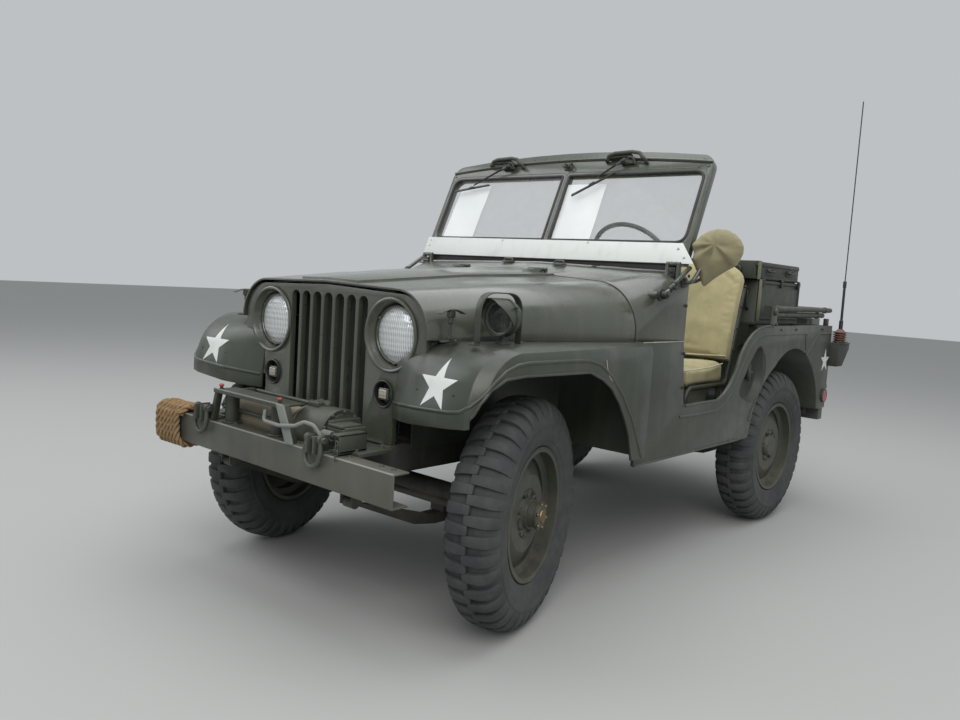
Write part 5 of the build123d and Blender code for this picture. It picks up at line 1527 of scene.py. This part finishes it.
def bracket(side):
    """Two upright ears on the bumper's top that the shackle's pin goes through."""
    x = side * SHACKLE_X
    pieces = Parts()
    for ear in (-22, 12):
        pieces.block((x + ear, BUMPER_Y - 28, 596), (x + ear + 10, BUMPER_Y + 30, 652), 3)
    pieces.block((x - 34, BUMPER_Y - 2, 596), (x + 34, BUMPER_Y + 56, 603), 2)
    for dx in (-26, 26):
        pieces += cup_bolt(x + dx, BUMPER_Y + 44, 602, 6, 5)
    return pieces


def add_bumper():
    front, back, (low, high) = BUMPER_Y, BUMPER_Y + BUMPER_DEEP, BUMPER_Z
    outline = [(front, low), (front, high), (back, high), (back, high - 6), (front + 6, high - 6),
               (front + 6, low + 6), (back, low + 6), (back, low)]
    beam = plate([(-653, y, z) for y, z in outline], (1306, 0, 0), 2.2, 3)
    finish(beam, "bumper_channel", BUMPER_PAINT, "olive_paint", "root", ("front_bumper",))
    edge = wire([(x, BUMPER_Y + 2.2, 596) for x in (-650, -300, 0, 300, 651)], 3.0, 4)
    finish(edge, "bumper_worn_edge", WORN_EDGE, "olive_paint")
    steel, olive = Parts(), Parts()
    for side in SIDES:
        steel += shackle(side)
        olive += bracket(side)
    for x in (-560, -180, 190, 420, 560, 610):
        olive += cup_bolt(x, BUMPER_Y + 40, high, 7, 5)
    steel.done("shackles", GEAR_PAINT, "gear_paint")
    olive.done("shackle_brackets", GEAR_PAINT, "gear_paint")


def add_winch_trim():
    olive, pale, red = Parts(), Parts(), Parts()
    # Roller guide: washers over the posts, red-headed pins, the plate's turned-down front edge
    for x in (-218, 51):
        olive.bar((x, -1557, 598), (x, -1557, 604), 33, 36, 2)
        olive.bar((x, -1557, 696), (x, -1557, 704), 31, 36, 2)
    for x in (-246, 92):
        olive.bar((x, -1584, 708), (x, -1584, 722), 6, 14, 1.5)
        red.bar((x, -1584, 720), (x, -1584, 730), 8.5, 18, 3)
    olive.block((-262, BUMPER_Y, 700), (136, BUMPER_Y + 5, 714), 2)
    pale.wire([(-262, BUMPER_Y + 2, 713), (136, BUMPER_Y + 2, 713)], 2.4, 3)
    leg = [(108, 714), (148, 714), (186, 640), (204, 600), (166, 596), (146, 636)]
    pale.plate([(x, BUMPER_Y - 7, z) for x, z in leg], (0, 6, 0), 1.5, 2)
    # Drum's end discs and the tie rods beside it
    for x in (-262, 88):
        olive.turned([(0, 60), (0, 71.5), (8, 71.5), (8, 60), (0, 60)], facing("left", x, WINCH_Y, WINCH_Z),
                     48)
    for y, z in ((-1540, 640), (-1410, 690)):
        olive.bar((-290, y, z), (126, y, z), 7, 18)
    # Gear case: ribbed cover with its bolts, filler plug, clutch housing
    olive.turned([(0, 86), (4, 86), (10, 82), (10, 66), (6, 60), (6, 40), (14, 36), (16, 0)],
                 facing("left", 254, WINCH_Y, WINCH_Z), 56)
    for i in range(10):
        angle = 2 * math.pi * i / 10 + 0.2
        y, z = WINCH_Y + 75 * math.cos(angle), WINCH_Z + 75 * math.sin(angle)
        if z > 606:
            olive.bar((262, y, z), (270, y, z), 6.5, 6, 1)
    olive.bar((190, WINCH_Y, 700), (190, WINCH_Y, 722), 13, 6, 2)
    olive.block((124, -1500, 702), (176, -1440, 720), 4)
    for x, y in ((134, -1490), (166, -1490), (134, -1450), (166, -1450)):
        olive += cup_bolt(x, y, 719, 5, 4)
    # Clutch housing's lower half and flange, then the three plates of the chain's bracket
    for low, high, bevel, segments in (
            ((270, -1536, 596), (352, -1452, 664), 5, 3), ((276, -1538, 664), (346, -1454, 674), 3, 2),
            ((364, -1592, 606), (404, -1486, 614), 2, 2), ((398, -1592, 604), (404, -1486, 662), 2, 2),
            ((364, -1592, 656), (404, -1486, 662), 2, 2)):
        olive.block(low, high, bevel, segments)
    for i in range(4):
        across, deep = (0, 5) if i % 2 else (-5, 0)
        link = [(across, -deep, 8), (-across, deep, 8), (-across, deep, -8), (across, -deep, -8)]
        ring = [(408 + dx, -1606 + dy, 640 - 14 * i + dz) for dx, dy, dz in link + link[:1]]
        olive.bend(ring, [3.5] * 3, 3, 2.0, 2)
    # Clutch shaft with its spring, and the bent lever over the drum
    olive.bar((245, CLUTCH_Y, CLUTCH_Z), (338, CLUTCH_Y, CLUTCH_Z), 8, 18, 1.5)
    coil = [(288 + 44 * i / 96, CLUTCH_Y + 13 * math.cos(i * math.pi / 8),
             CLUTCH_Z + 13 * math.sin(i * math.pi / 8)) for i in range(97)]
    pale.wire(coil, 2.4, 2)
    lever = [(36, -1598, 684), (40, -1606, 650), (141, -1620, 652), (223, -1620, 664), (262, -1614, 682),
             (296, -1604, 676), (318, -1588, 636)]
    pale.bend(lever, [16, 40, 40, 24, 24], 6, 6.2, 4)
    # Feet: rows of bolts on the rails
    for x in (-400, -330, 318, 400):
        for y in (-1524, -1420):
            olive += cup_bolt(x, y, 606, 8, 7)
    olive.done("winch_fittings", GEAR_PAINT, "gear_paint")
    pale.done("winch_lever", PALE_PAINT, "gear_paint")
    red.done("winch_pins", RED_PAINT, "gear_paint")


add_bumper()
add_winch_trim()


# Padded seats and the canvas cover


def crease(piece, lines):
    """Presses folds into a soft surface. Columns: start, end, half width, depth in millimetres."""
    points = [(v, v.co.copy(), v.normal.copy()) for v in piece.data.vertices]
    for start, end, spread, depth in lines:
        first = at(*start)
        run = at(*end) - first
        for vertex, place, normal in points:
            share = min(1.0, max(0.0, (place - first).dot(run) / run.length_squared))
            away = (place - first - run * share).length / (spread * MM)
            if away < 2.5:
                fade = math.exp(-away * away) * min(1.0, 0.35 + 4 * share * (1 - share))
                vertex.co -= normal * depth * MM * fade


PRESSURE = 4.0
INSET = 6.0
STUFFING_STEPS = 20


def puffed(piece, voxel, cap):
    """Stuffs a closed shell: a little smaller first, then blown up as cloth, no point going past the cap."""
    apply_modifier(piece, "DISPLACE", strength=-INSET * MM, mid_level=0.0)
    apply_modifier(piece, "REMESH", mode="VOXEL", voxel_size=voxel * MM)
    rest = [v.co.copy() for v in piece.data.vertices]
    take(piece)
    cloth = piece.modifiers.new("stuffing", "CLOTH")
    cloth.settings.use_pressure = True
    cloth.settings.uniform_pressure_force = PRESSURE
    cloth.settings.effector_weights.gravity = 0
    for step in range(1, STUFFING_STEPS + 1):
        bpy.context.scene.frame_set(step)
    bpy.ops.object.modifier_apply(modifier=cloth.name)
    bpy.context.scene.frame_set(1)
    for vertex, place in zip(piece.data.vertices, rest):
        move = vertex.co - place
        if move.length > cap * MM:
            vertex.co = place + move * (cap * MM / move.length)
    return piece


def smoothed(piece, name, material, replaced):
    apply_modifier(piece, "SUBSURF", levels=1, render_levels=1)
    finish(soften(piece, 180), name, material, "canvas", "root", replaced)


# Folds in the left seat, as the photograph shows them
CUSHION_FOLDS = (
    ((596, 250, 784), (596, 600, 768), 9, 5.0), ((596, 290, 754), (596, 590, 742), 9, 4.5),
    ((560, 228, 806), (430, 560, 806), 15, 5.0), ((300, 225, 806), (205, 520, 806), 15, 4.0),
    ((500, 216, 776), (250, 216, 762), 12, 4.5), ((190, 390, 806), (560, 440, 806), 30, 6.0),
    ((520, 240, 806), (300, 330, 806), 12, -3.0),
)
BACK_FOLDS = (
    ((190, 606, 862), (565, 600, 838), 14, 4.5), ((230, 615, 905), (430, 612, 890), 12, 3.0),
    ((250, 640, 1010), (540, 636, 990), 34, -3.0), ((235, 690, 1225), (330, 700, 1262), 14, 3.5),
    ((470, 700, 1262), (562, 690, 1200), 12, 4.0), ((582, 660, 1110), (560, 640, 950), 12, 3.5),
    ((400, 680, 1180), (330, 660, 1060), 26, 2.5),
)


def both_seats(rows):
    return [((side * a[0], *a[1:]), (side * b[0], *b[1:]), spread, depth)
            for side in SIDES for a, b, spread, depth in rows]


def add_seats():
    cushions = puffed(cleaned("seat_cushions"), 8, 16)
    for vertex in cushions.data.vertices:
        back = min(1.0, max(0.0, (vertex.co.y / MM + BOX_MIDDLE[1] - 430) / 150))
        if vertex.co.z > 0.775:
            vertex.co.z += 20 * MM * back * back
    crease(cushions, both_seats(CUSHION_FOLDS))
    smoothed(cushions, "front_cushions", SEAT_CANVAS, ("seat_cushions",))
    backs = puffed(cleaned("seat_backs"), 8, 12)
    crease(backs, both_seats(BACK_FOLDS))
    smoothed(backs, "front_backs", SEAT_CANVAS, ("seat_backs",))
    bench = puffed(join(block((-455, 1140, 740), (80, 1500, 800), 14, 3),
                        block((-455, 1500, 800), (80, 1560, 1080), 14, 3)), 9, 14)
    crease(bench, (((-440, 1200, 806), (60, 1230, 806), 24, 5.0),
                   ((-190, 1145, 806), (-180, 1490, 806), 10, 6.0),
                   ((-190, 1494, 820), (-185, 1494, 1070), 10, 5.0),
                   ((-400, 1494, 900), (30, 1494, 880), 30, 4.0)))
    smoothed(bench, "rear_bench", SEAT_CANVAS, ("rear_seat",))
    legs = [block((x, y, 612), (x + 18, y + 20, 742), 2) for y in (1190, 1450) for x in (-440, 40)]
    legs += [block((-440, 1190, 722), (58, 1204, 738), 2), block((-440, 1500, 712), (60, 1510, 810), 2)]
    legs += [block((x, 1190, 612), (x + 18, 1470, 622), 2) for x in (-440, 40)]
    finish(join(*legs), "bench_frame", GEAR_PAINT, "gear_paint")


def add_piping():
    cords, snaps = Parts(), Parts()
    for side in SIDES:
        route = [(176, 236, 800), (190, 218, 794), (566, 218, 794), (588, 236, 800), (592, 420, 806),
                 (588, 560, 818)]
        cords.wire([(side * x, y, z) for x, y, z in route], 3.4, 3)
        low = [(side * x, y, z) for x, y, z in ((176, 612, 850), (380, 596, 842), (582, 606, 852))]
        cords.bend(low, [200], 10, 4.2, 3)
        for z in (880, 985, 1090, 1190):
            y = 672 + (z - 805) * BACK_LEAN - 34
            snaps.bar((side * 588, y, z), (side * 596, y, z), 6, 14, 1.2)
    cords.done("seat_piping", PIPING, "canvas")
    snaps.done("seat_snaps", BLACK_PAINT_AND_HOLE_SHADE, "dark_steel")


# Outline of the mirror's cover as (x, z), and the middle that its folds run out from
COVER_EDGE = (
    (724, 1336), (738, 1352), (760, 1374), (788, 1390), (822, 1397), (856, 1393), (884, 1378), (906, 1358),
    (920, 1332), (920, 1305), (909, 1276), (898, 1258), (858, 1234), (814, 1204), (776, 1170), (762, 1200),
    (744, 1236), (730, 1272),
)
COVER_MIDDLE = (832, 1334)
COVER_Y = -96
# Columns: direction of a fold in degrees from +X towards +Z, its half angle, rise towards the front
COVER_FOLDS = ((182, 12, 7), (199, 9, -8), (218, 13, 9), (243, 12, -9), (268, 12, 4), (301, 14, -9),
               (325, 13, 6), (352, 16, -4), (60, 22, 3), (120, 20, -4), (150, 14, 3))


def edge_distance(x, z):
    place = Vector((x, z))
    best = 1e9
    for one, two in zip(COVER_EDGE, COVER_EDGE[1:] + COVER_EDGE[:1]):
        one, two = Vector(one), Vector(two)
        share = min(1.0, max(0.0, (place - one).dot(two - one) / (two - one).length_squared))
        best = min(best, (place - one - (two - one) * share).length)
    return best


def add_mirror_cover():
    """Canvas bag over the mirror, thick at the glass and thin at its tip, with folds from its middle."""
    cover = plate([(x, COVER_Y - 20, z) for x, z in COVER_EDGE], (0, 40, 0))
    apply_modifier(cover, "REMESH", mode="VOXEL", voxel_size=4 * MM)
    middle = at(0, COVER_Y, 0).y
    for vertex in cover.data.vertices:
        x, z = vertex.co.x / MM + BOX_MIDDLE[0], vertex.co.z / MM
        dx, dz = x - COVER_MIDDLE[0], z - COVER_MIDDLE[1]
        reach = math.hypot(dx, dz)
        deep = min(1.0, edge_distance(x, z) / 46)
        low = min(1.0, max(0.0, (z - 1165) / 110))
        half = 9 + (12 + 30 * low) * math.sqrt(deep * (2 - deep))
        turn = math.degrees(math.atan2(dz, dx)) % 360
        fold = 0.0
        for way, breadth, rise in COVER_FOLDS:
            away = (turn - way + 180) % 360 - 180
            fold += rise * math.exp(-(away / breadth) ** 2)
        fold *= min(1.0, reach / 45) * (1.0 if reach < 95 else max(0.4, 1 - (reach - 95) / 90))
        fold += 4 * math.exp(-(reach / 26) ** 2)
        share = (vertex.co.y - middle) / (20 * MM)
        vertex.co.y = middle + (share * half - fold * (0.55 - 0.45 * share)) * MM
    smoothed(cover, "mirror_bag", COVER_CANVAS, ("mirror_cover",))
    arm = [(716, -140, 1182), (748, -108, 1188), (786, -94, 1214), (800, -92, 1300)]
    pieces = Parts()
    pieces.bend(arm, [16, 30], 8, 6.5, 4)
    pieces.block((711, -168, 1160), (722, -128, 1200), 4)
    for y in (-160, -136):
        pieces.bar((720, y, 1180), (727, y, 1180), 6, 6, 1)
    pieces.done("mirror_arm", BLACK_PAINT_AND_HOLE_SHADE, "gear_paint")
    hem = [(x, COVER_Y - 13, z) for x, z in ((779, 1178), (816, 1211), (858, 1240), (897, 1265))]
    hem = wire(laid_on(hem, cover, 0.2, 8), 1.6, 2)
    finish(hem, "cover_hem", COVER_CANVAS, "canvas")


add_seats()
add_piping()
add_mirror_cover()


# Driver's place, and what the rear panel carries

WHEEL_PLACE = Matrix.Translation(at(*WHEEL_HUB)) @ Matrix.Rotation(COLUMN_TILT, 4, "X")


def on_wheel(x, y, z):
    """Place in millimetres, given in the steering wheel's own axes, with Z along its shaft."""
    place = WHEEL_PLACE @ size(x, y, z)
    return (place.x / MM + BOX_MIDDLE[0], place.y / MM + BOX_MIDDLE[1], place.z / MM)


def add_steering_wheel():
    rim = [(WHEEL_R * math.cos(a), WHEEL_R * math.sin(a)) for a in (2 * math.pi * i / 72 for i in range(72))]
    pieces = Parts()
    pieces.wire([on_wheel(x, y, 0) for x, y in rim], 10.5, 6, closed=True)
    for i in range(3):
        angle = math.radians(120 * i + 90)
        c, s = math.cos(angle), math.sin(angle)
        for off in (-9, 9):
            run = [(24 * c - off * s, 24 * s + off * c, -6), (90 * c - off * s, 90 * s + off * c, -3),
                   (196 * c - off * 1.3 * s, 196 * s + off * 1.3 * c, 0)]
            pieces.wire([on_wheel(*p) for p in run], 4.2, 4)
    place = WHEEL_PLACE @ Matrix.Rotation(-math.pi / 2, 4, "Y")
    pieces.turned([(-20, 0), (-20, 30), (-6, 34), (10, 33), (17, 27), (20, 14), (21, 0)], place, 40)
    for i in range(36):
        angle = 2 * math.pi * (i + 0.5) / 36
        c, s = math.cos(angle), math.sin(angle)
        spot = [on_wheel((WHEEL_R - 9) * c, (WHEEL_R - 9) * s, z) for z in (-5, 5)]
        pieces.bar(*spot, 3.2, 8, 0)
    pieces.done("wheel_rim_and_spokes", BLACK_PAINT_AND_HOLE_SHADE, "black_plastic", "steering_wheel", ("steering_wheel",))


def add_driver_place():
    """Instrument panel, levers, pedals and grab handle."""
    olive, dark, dials = Parts(), Parts(), Parts()
    y = DASH_Y
    olive.block((-120, y - 4, 1060), (150, y + 4, 1206), 5, 3)
    for x, z, r in ((15, 1134, 46), (-72, 1172, 26), (-72, 1104, 26), (102, 1172, 26), (102, 1104, 26)):
        place = facing("rear", x, y + 4, z)
        dark.turned([(0, r + 4), (5, r + 4), (7, r + 1), (5, r - 2), (2, r - 3)], place, 36)
        dials.turned([(1, r - 2), (2.2, r * 0.5), (2.4, 0)], place, 36)
        pointer = [(x - 2, y + 6.6, z - 3), (x + 2, y + 6.6, z - 3), (x + r * 0.45, y + 6.6, z + r * 0.5)]
        olive.plate(pointer, (0, 0.8, 0))
    for x, z in ((-180, 1170), (-180, 1110), (200, 1150), (230, 1150), (330, 1110), (380, 1110),
                 (430, 1110)):
        dark.bar((x, y, z), (x, y + 20, z), 10, 24, 3)
    for x, top in ((60, (40, 150, 960)), (10, (-10, 120, 900)), (-25, (-50, 130, 880))):
        dark.bend([(x, 60, 614), (x, 60, 740), top], [60], 8, 8, 4)
        dark.turned([(-16, 0), (-13, 11), (-2, 18), (10, 15), (17, 0)],
                    facing("up", *top), 24)
        dark.turned([(0, 42), (10, 38), (26, 20), (44, 12), (46, 8)],
                    facing("up", x, 60, 612), 28)
    for x in (180, 300):
        olive.bend([(x, -250, 905), (x, -225, 800), (x, -190, 720)], [40], 6, 9, 3)
        dark.block((x - 32, -204, 700), (x + 32, -190, 752), 5, 3)
    dark.block((400, -215, 640), (452, -200, 780), 5, 3)
    handle = [(-560, y + 2, 1150), (-560, y + 36, 1156), (-360, y + 36, 1156), (-360, y + 2, 1150)]
    dark.bend(handle, [14, 14], 5, 8, 4)
    olive.block((-620, y - 2, 1070), (-300, y + 3, 1130), 4, 2)
    olive.done("dash_panel", BODY_PAINT, "olive_paint")
    dark.done("dash_controls", BLACK_PAINT_AND_HOLE_SHADE, "black_plastic")
    dials.done("dials", DIAL_FACE, "black_plastic")


def add_rear_trim():
    """Spare wheel's clamp, the can's ribs and strap, the tow hook's latch, and handles."""
    olive, dark, straps = Parts(), Parts(), Parts()
    y = TUB_REAR_Y
    for x0, x1 in ((-640, -90), (-60, 230), (250, 640)):
        for z in (900, 690):
            olive.wire([(x0 + 16, y + 0.5, z), (x1 - 16, y + 0.5, z)], 5, 4)
    for x in (-75, 240):
        olive.wire([(x, y + 0.5, 570), (x, y + 0.5, 990)], 5, 4)
    olive.turned([(8, 0), (8, 64), (26, 60), (30, 20), (44, 16), (46, 0)],
                 facing("rear", SPARE_X, y + 150, SPARE_Z), 32)
    for i in range(3):
        across, up = 46 * math.cos(2 * math.pi * i / 3), 46 * math.sin(2 * math.pi * i / 3)
        olive.turned([(0, 0), (0, 12), (8, 12), (16, 7), (17, 0)],
                     facing("rear", SPARE_X + across, y + 176, SPARE_Z + up), 6, 20)
    low, high = 255, 600
    face = y + 176
    for px, pz, qx, qz in ((290, 660, 565, 980), (565, 660, 290, 980)):
        olive.wire([(px, face, pz), (qx, face, qz)], 7, 4)
    ring = [(285, face, 650), (570, face, 650), (570, face, 990), (285, face, 990), (285, face, 650)]
    olive.bend(ring, [30] * 3, 5, 6, 4)
    olive.turned([(0, 0), (0, 30), (10, 30), (14, 26), (22, 24), (24, 0)],
                 facing("up", 540, y + 95, 1036), 28)
    straps.block((low - 3, face - 4, 800), (high + 3, face + 8, 838), 1.5)
    for x in (low - 4, high):
        straps.block((x, y + 4, 800), (x + 4, face + 2, 838), 1.5)
    dark.block((412, face + 6, 796), (444, face + 12, 842), 2)
    # Pintle hook's latch and bolts, and the rear handles
    dark.block((-16, y + 64, 572), (16, y + 118, 598), 6, 3)
    dark.wire([(0, y + 104, 592), (0, y + 120, 620), (0, y + 104, 634)], 5, 3)
    for x in (-36, 36):
        for z in (520, 576):
            dark.bar((x, y + 12, z), (x, y + 22, z), 8, 6, 1)
    for side in SIDES:
        grip = [(side * 640, y, 880), (side * 640, y + 34, 880), (side * 640, y + 34, 760),
                (side * 640, y, 760)]
        dark.bend(grip, [12, 12], 5, 7, 4)
    olive.done("rear_panel_trim", BODY_PAINT, "olive_paint")
    dark.done("rear_fittings", GEAR_PAINT, "gear_paint")
    straps.done("can_strap", WEBBING, "canvas")


add_steering_wheel()
add_driver_place()
add_rear_trim()


# Stage and light


def add_stage():
    deselect()
    bpy.ops.mesh.primitive_plane_add(size=60)
    floor = bpy.context.object
    floor.name = "floor"
    s = Shader("floor_finish")
    floor.data.materials.append(s.set(Base_Color=shade(0.40, 0.40, 0.39), Roughness=0.9))


# Columns: place in metres, turn in degrees, breadth, watts, colour
LAMPS = (
    ((4.5, -5.5, 5.5), (48, 0, 38), 5.0, 290, (1.0, 0.99, 0.97)),
    ((-5.5, -4.0, 5.0), (50, 0, -52), 5.0, 140, (0.96, 0.98, 1.0)),
    ((0.5, 0.5, 6.5), (0, 0, 0), 7.0, 270, (0.97, 0.99, 1.0)),
)


def add_light():
    for place, turn, breadth, watts, colour in LAMPS:
        bpy.ops.object.light_add(type="AREA", location=place, rotation=[math.radians(a) for a in turn])
        lamp = bpy.context.object.data
        lamp.size = breadth
        lamp.energy = watts
        lamp.color = colour
    world = bpy.data.worlds.new("studio")
    bpy.context.scene.world = world
    world.use_nodes = True
    world.node_tree.nodes["Background"].inputs[0].default_value = (0.93, 0.97, 1.0, 1.0)
    world.node_tree.nodes["Background"].inputs[1].default_value = 0.55


add_stage()
add_light()
bpy.context.scene.view_settings.view_transform = "Standard"
